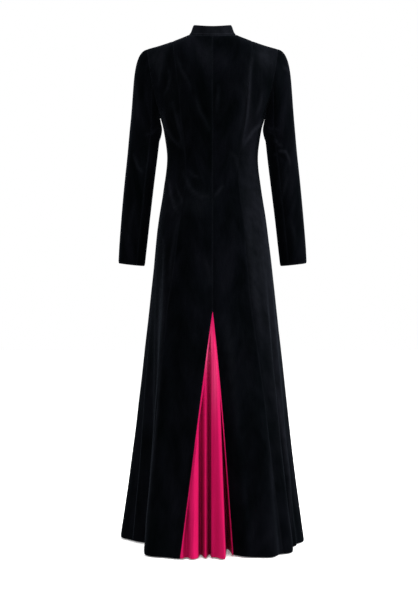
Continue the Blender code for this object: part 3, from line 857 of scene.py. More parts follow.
    def build(self, face_finish: Material, wrong_side: Material) -> bpy.types.Object:
        """Args:
            face_finish: The material of the right side and the edges.
            wrong_side: The material of the inner side.

        Returns:
            The finished piece.
        """
        rows, columns = self.points.shape[:2]
        index = np.arange(rows * columns).reshape(rows, columns)
        quads = np.stack([index[:-1, :-1], index[:-1, 1:], index[1:, 1:], index[1:, :-1]], axis=-1)
        if self.outward < 0:
            quads = quads[..., ::-1]
        quads = quads.reshape(-1, 4)
        mesh = bpy.data.meshes.new(self.name)
        mesh.from_pydata(self.points.reshape(-1, 3).tolist(), [], quads.tolist())
        across = lengths_from_start(self.points, 1)
        down = lengths_from_start(self.points, 0)
        flat = np.stack([across - across.mean(axis=1, keepdims=True), -down], axis=-1).reshape(-1, 2)
        flat = flat + np.array(self.cut_place)
        layer = mesh.uv_layers.new(name="cloth")
        layer.data.foreach_set("uv", flat[quads.reshape(-1)].astype(np.float32).ravel())
        # The painted sheen goes to the material, which adds it as lighter colour
        painted_sheen = mesh.attributes.new("painted_sheen", "FLOAT", "POINT")
        painted_sheen.data.foreach_set("value", self.painted_sheen.astype(np.float32).ravel())
        mesh.materials.append(face_finish)
        mesh.materials.append(wrong_side)
        piece = bpy.data.objects.new(self.name, mesh)
        bpy.context.scene.collection.objects.link(piece)
        bpy.ops.object.select_all(action="DESELECT")
        piece.select_set(True)
        bpy.context.view_layer.objects.active = piece
        wall = piece.modifiers.new("wall", "SOLIDIFY")
        wall.thickness = self.wall
        wall.offset = -1.0
        wall.material_offset = 1
        bpy.ops.object.modifier_apply(modifier=wall.name)
        bpy.ops.object.shade_smooth_by_angle(angle=math.radians(self.sharp_angle))
        self.declare(piece)
        return piece

    def declare(self, piece: bpy.types.Object) -> None:
        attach(piece, BODY)
        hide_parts(self.node)


# Where the extra columns beside an edge lie, as shares of the crowded strip
EDGE_STEPS = (0.0, 0.2, 0.45, 0.75)


def crowded_shares(count: int, edge_share: float) -> Grid:
    """Shares from 0 to 1 that lie close together near both ends, for the rolled seams."""
    near = edge_share * np.array(EDGE_STEPS)
    middle = np.linspace(edge_share, 1 - edge_share, count)
    return np.concatenate([near, middle, 1 - near[::-1]])


@dataclass
class BodyPanels:
    """The four back and four front panels.

    Attributes:
        form, wall: The coat's surface, and the velvet's thickness with its pile.
        columns, crowding: Columns across a panel, and the share beside each edge with more of them.
        upper_rows, bodice_rows, skirt_rows: Rows down to the underarm, the vent's top and the hem.
        hem_rows: How high above the hem the last rows lie.
        seam_gap: The gap between two pieces.
        seam_roll, seam_width: How far a seam's edge turns in, and over what width.
        armhole_roll, hem_roll: How far the armhole's and the hem's edges do.
        armhole_end, armhole_ramp: The v at which the armhole goes over into the side seam, and how soon.
        lap_over, lap_under: How far the upper and the lower front reach past the centre.
        lap_margin: How far past the lower front's edge the upper one still lies flat.
        lap_lift, lap_ramp: How far it lies off the lower one, and over what width it comes down.
        lap_steps: The columns past the centre, as shares of the reach.
        vent_clear, vent_ramp: How far the vent opens before its edge has an allowance, and how soon.
        crease_drop, crease_ramp: How far below the shoulder creases start, and how soon.
        sheen_width: How far from a seam the painted sheen of the pressed pile reaches.
        sheen_share, hem_sheen_share: How strong that painted sheen is there and at the hem.
        allowance, facing, hem: What is turned in, as steps past the edge and behind it.
    """

    form: CoatForm
    wall: float = 0.0020
    columns: int = 34
    crowding: float = 0.03
    upper_rows: int = 44
    bodice_rows: int = 76
    skirt_rows: int = 84
    hem_rows: tuple = (0.010, 0.006, 0.003, 0.001, 0.0)
    seam_gap: float = 0.0003
    seam_roll: float = 0.0008
    seam_width: float = 0.0032
    armhole_roll: float = 0.0002
    armhole_end: float = 0.97
    armhole_ramp: float = 0.05
    hem_roll: float = 0.0016
    lap_over: float = 0.020
    lap_under: float = 0.028
    lap_margin: float = 0.004
    lap_lift: float = 0.0026
    lap_ramp: float = 0.022
    lap_steps: tuple = (1.0, 0.97, 0.9, 0.75, 0.6, 0.45, 0.3, 0.15)
    vent_clear: float = 0.004
    vent_ramp: float = 0.006
    crease_drop: float = 0.015
    crease_ramp: float = 0.03
    sheen_width: float = 0.0022
    sheen_share: float = 0.16
    hem_sheen_share: float = 0.2
    allowance: tuple = ((0.0004, 0.0022), (0.0026, 0.0022), (0.0052, 0.0018))
    facing: tuple = ((0.0005, 0.0011), (0.0, 0.0026), (-0.012, 0.0030), (-0.026, 0.0028))
    hem: tuple = ((0.0006, 0.0012), (0.0002, 0.0030), (-0.012, 0.0034), (-0.026, 0.0030))

    def rows(self) -> Grid:
        """Every row's v, crowded at the top, the vent's top and the hem."""
        form = self.form
        upper = np.linspace(0, 1, self.upper_rows, endpoint=False)
        bodice = np.linspace(form.underarm_z, form.vent_top_z, self.bodice_rows, endpoint=False)
        skirt = np.linspace(form.vent_top_z, form.hem_z + self.hem_rows[0], self.skirt_rows)
        hem = form.hem_z + np.array(self.hem_rows[1:])
        return np.concatenate([upper, form.row_at(np.concatenate([bodice, skirt, hem]))])

    def centre_shares(self, side: Side, face: Face, v: Grid) -> Grid:
        """The q of each point of a centre panel, rows down and columns across."""
        last = self.form.princess_share(side, face, v)
        first = np.zeros_like(v)
        if face is Face.BACK:
            vent = self.form.vent_half_width(side, self.form.height(face, first, v))
            first = self.form.share_for(face, vent, v)
        shares = crowded_shares(self.columns, self.crowding)
        panel = mix(first[:, None], last[:, None], shares[None, :])
        if face is Face.BACK:
            return panel
        reach = self.lap_over if side is Side.RIGHT else self.lap_under
        past = self.form.share_for(face, np.full_like(v, reach), v)
        lap = -past[:, None] * np.array(self.lap_steps)[None, :]
        return np.concatenate([lap, panel], axis=1)

    def side_shares(self, side: Side, face: Face, v: Grid) -> Grid:
        """The q of each point of a side panel, rows down and columns across."""
        first = self.form.princess_share(side, face, v)
        shares = crowded_shares(self.columns, self.crowding)
        return mix(first[:, None], np.ones_like(v)[:, None], shares[None, :])

    def relief(self, side: Side, face: Face, points: Grid) -> Grid:
        """The creases' height at each point of a panel."""
        creases = BACK_CREASES if face is Face.BACK else FRONT_CREASES
        own = points[..., 0] * side.value
        total = crease_relief(creases[side], own, points[..., 2])
        total += crease_relief(creases[other_side(side)], -own, points[..., 2])
        start = self.form.height(face, 0.5, 0.0) - self.crease_drop
        return total * smooth_share((start - points[..., 2]) / self.crease_ramp)

    def below_armhole(self, v: Grid) -> Grid:
        """0 in the rows beside the armhole and 1 in the rows beside the side seam."""
        return smooth_share((v - self.armhole_end) / self.armhole_ramp)

    def panel(self, side: Side, face: Face, part: str) -> ClothSheet:
        """One panel as a sheet.

        Args:
            side: The wearer's side.
            face: Back or front.
            part: centre or side.

        Returns:
            The sheet, ready to build.
        """
        v = self.rows()
        find = self.centre_shares if part == "centre" else self.side_shares
        q = find(side, face, v)
        v = np.broadcast_to(v[:, None], q.shape)
        points = self.form.point(side, face, q, v)
        if face is Face.FRONT and side is Side.RIGHT:
            past = self.lap_over - points[..., 0]
            flat = self.lap_over + self.lap_under + self.lap_margin
            lift = self.lap_lift * (1 - smooth_share((past - flat) / self.lap_ramp))
            points = points + self.form.normal(side, face, q, v) * lift[..., None]
        name = f"{face.name}_{part}_{side.name}".lower()
        sheet = ClothSheet(
            name=f"velvet_{name}",
            node=name,
            points=points,
            wall=self.wall,
            outward=float(side.value * face.value),
        )
        relief = self.relief(side, face, points)
        own = points[..., 0] * side.value
        # Painted highlights in soft patches where the light falls
        sheet.painted_sheen += highlight_patch_share(VELVET_HIGHLIGHT_PATCHES[side], own, points[..., 2], part)
        # Painted sheen along the creases' crests
        sheet.brush(relief)
        sheet.raise_by(relief + cloth_ripple(points[..., 0], points[..., 2], face.value))
        sewn = ["top", "last"] + (["first"] if part == "side" or face is Face.BACK else [])
        below = self.below_armhole(v) if part == "side" else np.ones_like(v)
        # Rolled seams, with painted sheen on the pressed pile beside them
        for edge in sewn:
            share = below if edge == "last" else 1.0
            sheet.roll_edge(edge, mix(self.armhole_roll, self.seam_roll, share), self.seam_width)
            sheet.paint_edge_sheen(edge, self.sheen_width, self.sheen_share)
        if part == "centre" and face is Face.FRONT:
            sheet.roll_edge("first", self.hem_roll, self.seam_width)
        # The rolled hem, with painted sheen on its pressed pile
        sheet.roll_edge("bottom", self.hem_roll, self.seam_width)
        sheet.paint_edge_sheen("bottom", self.sheen_width, self.hem_sheen_share)
        for edge in set(sewn) - {"top"}:
            share = below[:, -1:] if edge == "last" else 1.0
            sheet.draw_in(edge, self.seam_gap / 2 * share)
        self.turn_edges(sheet, side, face, part, q[0], v[:, 0])
        return sheet

    def turn_edges(self, sheet: ClothSheet, side: Side, face: Face, part: str, q: Grid, v: Grid) -> None:
        """Adds the hem and the seam allowances, each lying behind the panel next to it.

        Args:
            sheet: The panel.
            side: The wearer's side.
            face: Back or front.
            part: centre or side.
            q: The share across of each column at the top.
            v: The share down of each row.
        """
        above_vent = self.form.height(Face.BACK, np.zeros_like(v), v) > self.form.vent_top_z
        if part == "centre":
            sheet.extend("last", self.allowance)
            if face is Face.BACK:
                spread = self.form.vent_half_width(side, self.form.height(face, np.zeros_like(v), v))
                opened = np.clip((spread - self.vent_clear) / self.vent_ramp, 0.0, 1.0)
                lap = np.where(above_vent, 1.0, opened) * (1.0 if side is Side.RIGHT else 0.0)
                sheet.extend("first", self.allowance, lap)
            else:
                sheet.extend("first", self.facing)
        elif face is Face.BACK:
            sheet.extend("last", self.allowance, self.below_armhole(v))
        on_neck = np.abs(q) < self.form.neck_share
        top = np.where(on_neck, 1.0, 1.0 if face is Face.BACK else 0.0)
        added = len(sheet.points[0]) - len(q)
        after = len(self.allowance) if part == "centre" else added
        top = np.pad(top, (added - after, after), mode="edge")
        if part == "centre" and face is Face.FRONT:
            own = sheet.points[0, :, 0] * side.value
            top = top * smooth_share((own - self.lap_over - self.lap_margin) / self.lap_ramp)
        sheet.extend("top", self.allowance, top)
        sheet.extend("bottom", self.hem)

    def sheets(self) -> list[ClothSheet]:
        """All eight panels."""
        return [self.panel(s, f, p) for s in Side for f in Face for p in ("centre", "side")]


def other_side(side: Side) -> Side:
    """The opposite of a side."""
    return Side.RIGHT if side is Side.LEFT else Side.LEFT


@dataclass
class StandCollar:
    """The stand collar, one band whose ends meet at the centre front.

    Attributes:
        form: The coat's surface, which gives the neckline.
        height, lean, curve: How tall the band stands, how far its top leans in, and how early.
        end_gap, seam_gap: The gap between its ends, and the gap over the neckline.
        wall: Its thickness.
        ridge_rise: How far above its base the seam allowance inside shows as a ridge.
        ridge_width, ridge_height: The ridge's width to each side, and how far it stands out.
        ridge_sheen_share: How strong the sheen painted on its crest is.
        rows, columns: Rows up the band, and columns in each quarter of it.
        painted_shine: How much painted sheen the pile takes all over, 0 to 1.
        top_turn, neck_turn: How the top edge and the neck seam turn in.
    """

    form: CoatForm
    height: float = 0.030
    lean: float = 0.0145
    curve: float = 0.6
    end_gap: float = 0.004
    wall: float = 0.0022
    seam_gap: float = 0.0003
    ridge_rise: float = 0.0065
    ridge_width: float = 0.0024
    ridge_height: float = 0.0011
    ridge_sheen_share: float = 0.5
    rows: int = 40
    columns: int = 40
    painted_shine: float = 0.30
    top_turn: EdgeTurn = EdgeTurn(roll=0.0010, roll_width=0.0030, sheen_width=0.0030, sheen_share=0.5)
    neck_turn: EdgeTurn = EdgeTurn(roll=0.0010, roll_width=0.0026, sheen_width=0.0026, sheen_share=0.6)

    def quarter(self, side: Side, face: Face, up: Grid) -> Grid:
        """A quarter of the band, from the centre line to the neck corner."""
        q = np.linspace(0, self.form.neck_share, self.columns + 1)
        zero = np.zeros_like(q)
        base = self.form.point(side, face, q, zero)
        start = base + self.form.normal(side, face, q, zero) * self.seam_gap
        inward = np.stack([-base[:, 0], -base[:, 1], zero], axis=-1)
        inward /= np.linalg.norm(inward, axis=-1, keepdims=True)
        lean = self.seam_gap + self.lean * up**self.curve
        rise = np.stack([zero, zero, np.ones_like(q)], axis=-1)
        return start + inward * lean[:, None, None] + rise * (self.height * up)[:, None, None]

    def sheet(self) -> ClothSheet:
        """The band as a sheet, from its top edge down."""
        up = np.linspace(1, 0, self.rows + 1)
        points = np.concatenate(
            [
                self.quarter(Side.LEFT, Face.FRONT, up),
                self.quarter(Side.LEFT, Face.BACK, up)[:, -2::-1],
                self.quarter(Side.RIGHT, Face.BACK, up)[:, 1:],
                self.quarter(Side.RIGHT, Face.FRONT, up)[:, -2::-1],
            ],
            axis=1,
        )
        ends = np.abs(points[..., 0]) < self.end_gap / 2
        in_front = points[..., 1] < 0
        kept = ~(ends & in_front).any(axis=0)
        sheet = ClothSheet(
            name="velvet_stand_collar",
            node="stand_collar",
            points=points[:, kept],
            wall=self.wall,
            held=Held.FOLDED,
        )
        sheet.face_towards((0.0, 1.0, 0.0))
        # Painted sheen over the whole collar, on the crest of its seam ridge and on the pressed pile of its
        # edges
        sheet.painted_sheen += self.painted_shine
        ridge = self.ridge_height * bump(sheet.from_edge("bottom") - self.ridge_rise, self.ridge_width)
        sheet.brush(ridge, self.ridge_height, self.ridge_sheen_share)
        sheet.raise_by(ridge)
        sheet.turn_in("top", self.top_turn)
        sheet.turn_in("bottom", self.neck_turn)
        return sheet


@dataclass
class Sleeve:
    """A two-piece sleeve on one side.

    Attributes:
        form, side: The coat's surface, which gives the armhole, and the wearer's side.
        tilt: How far the sleeve's axis leans out.
        cap_out, cap_down: How far the cap's curve reaches out, and how long it takes to come down.
        cap_slope: How it leaves the shoulder.
        underarm_out, underarm_down: How far the curve reaches at the underarm, and how long it takes.
        underarm_lean: How it leaves the underarm.
        armhole_gap, seam_gap: The gap to the body, and the gap between the two pieces.
        seam_place: The armhole place, 0 at the shoulder and 1 at the underarm, of the seams.
        seam_degrees: The degrees round from the outer side at which the seams run down.
        mean_radius: The radius by which the creases' degrees become metres.
        wall: The velvet's thickness.
        ripple_level, ripple_phase: The level whose place shifts the faint waves, and their start.
        cap_rows, cap_crowding: Rows in the cap, and how much closer they lie at its top, as a power.
        arm_rows, cuff_rows: Rows below it, and how high above the cuff the last ones lie.
        upper_columns, upper_crowding: Columns round the upper piece, and the share with more of them.
        under_columns, under_crowding: The same for the under piece.
        armhole_turn, cuff_turn, long_seam_turn: How each edge turns in.
        body_from, body_ramp: The v from which the top allowance leans to the body, and how soon.
        allowance, hem: What is turned in, as steps past the edge and behind it.
    """

    form: CoatForm
    side: Side
    tilt: float = math.radians(6.0)
    cap_out: float = 0.045
    cap_down: float = 0.120
    cap_slope: float = -0.2
    underarm_out: float = 0.014
    underarm_down: float = 0.012
    underarm_lean: float = 0.22
    armhole_gap: float = 0.0006
    seam_gap: float = 0.0003
    seam_place: float = 0.75
    seam_degrees: float = 115.0
    mean_radius: float = 0.045
    wall: float = 0.0020
    ripple_level: float = -0.5
    ripple_phase: float = 2.0
    cap_rows: int = 44
    cap_crowding: float = 1.3
    arm_rows: int = 92
    cuff_rows: tuple = (0.008, 0.005, 0.002, 0.0)
    upper_columns: int = 72
    upper_crowding: float = 0.02
    under_columns: int = 34
    under_crowding: float = 0.03
    armhole_turn: EdgeTurn = EdgeTurn(roll=0.0002, roll_width=0.0030, sheen_width=0.0022, sheen_share=0.35)
    cuff_turn: EdgeTurn = EdgeTurn(roll=0.0014, roll_width=0.0032, sheen_width=0.0024, sheen_share=0.20)
    long_seam_turn: EdgeTurn = EdgeTurn(roll=0.0007, roll_width=0.0030, sheen_width=0.0022, sheen_share=0.22)
    body_from: float = 0.84
    body_ramp: float = 0.08
    allowance: tuple = ((0.0004, 0.0022), (0.0024, 0.0022), (0.0046, 0.0024))
    hem: tuple = ((0.0005, 0.0011), (0.0001, 0.0028), (-0.010, 0.0032), (-0.022, 0.0030))

    def turn(self, place: Grid) -> Grid:
        """Degrees round the sleeve of each place along the armhole, which runs from 0 to 2."""
        folded = np.where(place > 1, 2 - place, place)
        upper = self.seam_degrees * folded / self.seam_place
        under = mix(self.seam_degrees, 180.0, (folded - self.seam_place) / (1 - self.seam_place))
        turned = np.where(folded <= self.seam_place, upper, under)
        return np.where(place > 1, 360 - turned, turned)

    def ring(self, z: Grid, place: Grid) -> Grid:
        """The sleeve's sections at z, for each place."""
        radians = np.radians(self.turn(place))
        out = smooth_curve(SLEEVE_SECTIONS, "half_width", z) * np.cos(radians)
        back = smooth_curve(SLEEVE_SECTIONS, "half_depth", z) * np.sin(radians)
        x = self.side.value * (smooth_curve(SLEEVE_SECTIONS, "out", z) + out * math.cos(self.tilt))
        y = smooth_curve(SLEEVE_SECTIONS, "forward", z) + back
        return np.stack([x, y, z + out * math.sin(self.tilt)], axis=-1)

    def armhole(self, place: Grid) -> tuple[Grid, Grid]:
        """The armhole's points and the step off them, for each place."""
        v = np.where(place > 1, 2 - place, place)
        front = (place > 1)[:, None]
        one = np.ones_like(v)
        near = one - self.form.normal_step
        points, steps = [], []
        for face in Face:
            seam = self.form.point(self.side, face, one, v)
            along = seam - self.form.point(self.side, face, near, v)
            along /= np.linalg.norm(along, axis=-1, keepdims=True)
            step = mix(along, self.form.normal(self.side, face, one, v), v[:, None])
            points.append(seam)
            steps.append(step / np.linalg.norm(step, axis=-1, keepdims=True))
        seam = np.where(front, points[1], points[0])
        return seam, np.where(front, steps[1], steps[0]) * self.armhole_gap

    def surface(self, place: Grid) -> Grid:
        """The whole sleeve's points, rows down and a column for each place."""
        top, bottom = SLEEVE_SECTIONS[0].z, SLEEVE_SECTIONS[-1].z
        seam, step = self.armhole(place)
        v = np.where(place > 1, 2 - place, place)
        under = smooth_share(v)
        zero = np.zeros_like(under)
        leave = np.stack(
            [self.side.value * mix(1.0, self.underarm_lean, under), zero, mix(self.cap_slope, -1.0, under)],
            axis=-1,
        )
        leave /= np.linalg.norm(leave, axis=-1, keepdims=True)
        start = seam + step
        end = self.ring(np.full_like(place, top), place)
        knee = start + leave * mix(self.cap_out, self.underarm_out, under)[:, None]
        upward = np.array([-self.side.value * math.sin(self.tilt), 0.0, 1.0])
        lift = end + upward * mix(self.cap_down, self.underarm_down, under)[:, None]
        t = (np.linspace(0, 1, self.cap_rows, endpoint=False) ** self.cap_crowding)[:, None, None]
        cap = start * (1 - t) ** 3 + knee * 3 * t * (1 - t) ** 2
        cap = cap + lift * 3 * t * t * (1 - t) + end * t**3
        down = np.linspace(0, 1, self.arm_rows)
        cuff = bottom + np.array(self.cuff_rows)
        z = np.concatenate([mix(top, cuff[0], down), cuff[1:]])
        arm = self.ring(*np.broadcast_arrays(z[:, None], place[None, :]))
        return np.concatenate([cap, arm])

    def sheet(self, part: str) -> ClothSheet:
        """The upper or the under piece as a sheet."""
        if part == "upper":
            shares = crowded_shares(self.upper_columns, self.upper_crowding)
            place = mix(-self.seam_place, self.seam_place, shares)
            place = np.where(place < 0, place + 2, place)
        else:
            shares = crowded_shares(self.under_columns, self.under_crowding)
            place = mix(self.seam_place, 2 - self.seam_place, shares)
        points = self.surface(place)
        name = f"{part}_sleeve_{self.side.name}".lower()
        middle = self.ring(np.array([self.ripple_level]), np.array([0.0 if part == "upper" else 1.0]))[0]
        sheet = ClothSheet(name=f"velvet_{name}", node=name, points=points, wall=self.wall)
        away = self.side.value if part == "upper" else -self.side.value
        sheet.face_towards((float(away), 0.0, 0.0))
        across = np.radians(self.turn(place))[None, :] * self.mean_radius + 0 * points[..., 2]
        creases = [
            replace(crease, path=tuple((math.radians(turn) * self.mean_radius, z) for turn, z in crease.path))
            for crease in SLEEVE_CREASES[self.side]
        ]
        relief = crease_relief(creases, across, points[..., 2])
        # Painted sheen along the creases' crests
        sheet.brush(relief)
        ripple = cloth_ripple(points[..., 1] + middle[0], points[..., 2], self.ripple_phase)
        sheet.raise_by(relief + ripple)
        # Rolled edges, with painted sheen on their pressed pile
        sheet.turn_in("top", self.armhole_turn)
        sheet.turn_in("bottom", self.cuff_turn)
        for edge in ("first", "last"):
            sheet.turn_in(edge, self.long_seam_turn)
            sheet.draw_in(edge, self.seam_gap / 2)
            if part == "upper":
                sheet.extend(edge, self.allowance)
        self.turn_top(sheet, place)
        sheet.extend("bottom", self.hem)
        return sheet

    def turn_top(self, sheet: ClothSheet, place: Grid) -> None:
        """Adds the seam allowance at the armhole, which turns towards the body under the arm."""
        before = (sheet.points.shape[1] - len(place)) // 2
        v = np.pad(np.where(place > 1, 2 - place, place), (before, before), mode="edge")
        way = mix(1.0, -1.0, smooth_share((v - self.body_from) / self.body_ramp))[:, None]
        sheet.extend("top", [(past, depth * way) for past, depth in self.allowance])


@dataclass
class Godet:
    """The flared crepe insert between the edges of the vent.

    Attributes:
        form: The coat's surface, which gives the vent's edges.
        top_drop: How far below the vent's top the sheet starts.
        lift: How far the whole insert arches out at the hem.
        strip, rise: How wide it lies flat beside each sewn edge, and how soon its folds start.
        growth: How early the folds grow on their way down.
        seam_gap, wall: The gap to the velvet, and the crepe's thickness.
        ripple_height, ripple_across, ripple_down: Its faint waves' height, and their radians each way.
        rows, columns, crowding: Rows down, columns across, and the share beside each edge with more.
        hem: The narrow rolled hem, as steps past the edge and behind it.
    """

    form: CoatForm
    top_drop: float = 0.003
    lift: float = 0.013
    strip: float = 0.0025
    rise: float = 0.004
    growth: float = 0.75
    seam_gap: float = 0.0003
    wall: float = 0.0011
    ripple_height: float = 0.0010
    ripple_across: float = 47.0
    ripple_down: float = 5.0
    rows: int = 150
    columns: int = 180
    crowding: float = 0.02
    hem: tuple = ((0.0003, 0.0007), (0.0, 0.0016), (-0.004, 0.0018))

    def folds(self, x: Grid, from_edge: Grid, down: Grid) -> Grid:
        """How far the folds push the crepe out or in.

        Args:
            x: Where each point lies.
            from_edge: How far it lies from the nearer sewn edge.
            down: Its share of the way down.
        """
        total = np.zeros_like(x)
        for fold in GODET_FOLDS:
            grown = np.maximum(0.0, (down - fold.start_share) / (1 - fold.start_share)) ** self.growth
            away = x - fold.across - fold.drift * (1 - down)
            width = np.where(away > 0, fold.left_width, fold.right_width)
            total += fold.depth * grown * bump(away, width)
        return total * smooth_share((from_edge - self.strip) / self.rise)

    def sheet(self) -> ClothSheet:
        """The insert as a sheet."""
        form = self.form
        z = np.linspace(form.vent_top_z - self.top_drop, form.hem_z, self.rows)
        v = form.row_at(z)
        edges = {}
        for side in Side:
            q = form.share_for(Face.BACK, form.vent_half_width(side, z), v)
            edges[side] = form.point(side, Face.BACK, q, v)
        across = edges[Side.RIGHT] - edges[Side.LEFT]
        across /= np.linalg.norm(across, axis=-1, keepdims=True)
        left = (edges[Side.LEFT] + across * self.seam_gap)[:, None, :]
        right = (edges[Side.RIGHT] - across * self.seam_gap)[:, None, :]
        place = crowded_shares(self.columns, self.crowding)[None, :]
        down = ((form.vent_top_z - z) / (form.vent_top_z - form.hem_z))[:, None]
        place, down = np.broadcast_arrays(place, down)
        points = mix(left, right, place[..., None])
        from_edge = np.minimum(place, 1 - place) * np.linalg.norm(right - left, axis=-1)
        wave = np.sin(self.ripple_across * place + self.ripple_down * down)
        ripple = self.ripple_height * down * wave * np.sin(math.pi * place)
        arch = self.lift * down * np.sin(math.pi * place)
        points[..., 1] += arch + self.folds(points[..., 0], from_edge, down) + ripple
        sheet = ClothSheet(name="crepe_godet", node="godet", points=points, wall=self.wall, slot="pink_crepe")
        # Painted highlights on the upper folds
        sheet.painted_sheen += highlight_patch_share(CREPE_HIGHLIGHT_PATCHES, points[..., 0], points[..., 2], "godet")
        sheet.face_towards((0.0, 1.0, 0.0))
        sheet.extend("bottom", self.hem)
        return sheet


# Finishes


WHITE = (1.0, 1.0, 1.0, 1.0)
# Places of the colour sockets on a Mix node
FIRST_COLOUR, SECOND_COLOUR, MIXED_COLOUR = 6, 7, 2


@dataclass(frozen=True)
class Pattern:
    """A noise pattern on the cloth: patches to the metre across and down it, and levels of detail."""

    across: float
    down: float
    detail: float


@dataclass(frozen=True)
class Tones:
    """Two colours or greys, each with the pattern's value at which it is reached."""

    low_at: float
    low: Tone
    high_at: float
    high: Tone


class NodeSheet:
    """Adds shader nodes to one new material and links them."""

    def __init__(self, name: str) -> None:
        """Starts a material with a Principled shader."""
        self.material = bpy.data.materials.new(name)
        self.material.use_nodes = True
        self.tree = self.material.node_tree
        self.shader = self.tree.nodes["Principled BSDF"]

    def add(self, kind: str, **settings: object) -> bpy.types.Node:
        """Adds a node and sets its properties."""
        node = self.tree.nodes.new(kind)
        for key, value in settings.items():
            setattr(node, key, value)
        return node

    def link(self, source: Socket, target: Socket) -> None:
        """Links two sockets."""
        self.tree.links.new(source, target)

    def cloth_coordinates(self, scale: tuple[float, float, float]) -> Socket:
        """The cloth's own flat coordinates in metres, scaled."""
        uv = self.add("ShaderNodeUVMap", uv_map="cloth")
        mapping = self.add("ShaderNodeMapping")
        mapping.inputs["Scale"].default_value = scale
        self.link(uv.outputs["UV"], mapping.inputs["Vector"])
        return mapping.outputs["Vector"]

    def noise(self, vector: Socket, scale: float, detail: float) -> Socket:
        """A noise pattern's value."""
        node = self.add("ShaderNodeTexNoise")
        node.inputs["Scale"].default_value = scale
        node.inputs["Detail"].default_value = detail
        self.link(vector, node.inputs["Vector"])
        return node.outputs["Fac"]

    def pattern(self, pattern: Pattern) -> Socket:
        """A noise pattern on the cloth's flat coordinates."""
        return self.noise(self.cloth_coordinates((pattern.across, pattern.down, 1.0)), 1.0, pattern.detail)

    def ramp(self, value: Socket, tones: Tones) -> Socket:
        """Colours for a value, from one tone to the other."""
        node = self.add("ShaderNodeValToRGB")
        stops = ((tones.low_at, tones.low), (tones.high_at, tones.high))
        for element, (place, tone) in zip(node.color_ramp.elements, stops):
            element.position = place
            element.color = (*(tone if isinstance(tone, tuple) else (tone,) * 3), 1.0)
        self.link(value, node.inputs["Fac"])
        return node.outputs["Color"]

    def combine(self, mode: str, *colours: Socket) -> Socket:
        """Colours multiplied or added, the first with the second and so on."""
        result = colours[0]
        for colour in colours[1:]:
            node = self.add("ShaderNodeMix", data_type="RGBA", blend_type=mode)
            node.inputs["Factor"].default_value = 1.0
            self.link(result, node.inputs[FIRST_COLOUR])
            self.link(colour, node.inputs[SECOND_COLOUR])
            result = node.outputs[MIXED_COLOUR]
        return result

    def painted_sheen(self) -> Socket:
        """How much painted sheen the cloth takes at each point."""
        return self.add("ShaderNodeAttribute", attribute_name="painted_sheen").outputs["Fac"]

    def bump(self, heights: Sequence[tuple[Socket, float]], distance: float) -> None:
        """Stacks bumps, each a height and a strength, and gives them to the shader."""
        previous = None
        for height, strength in heights:
            node = self.add("ShaderNodeBump")
            node.inputs["Strength"].default_value = strength
            node.inputs["Distance"].default_value = distance
            self.link(height, node.inputs["Height"])
            if previous is not None:
                self.link(previous, node.inputs["Normal"])
            previous = node.outputs["Normal"]
        self.link(previous, self.shader.inputs["Normal"])

    def finish(self, links: dict[str, Socket], values: dict[str, object]) -> Material:
        """Gives the shader what varies and what is the same all over.

        Args:
            links: What varies, by the shader's own names.
            values: What is the same all over, likewise.

        Returns:
            The finished material.
        """
        for name, source in links.items():
            self.link(source, self.shader.inputs[name])
        for name, value in values.items():
            self.shader.inputs[name].default_value = value
        return self.material


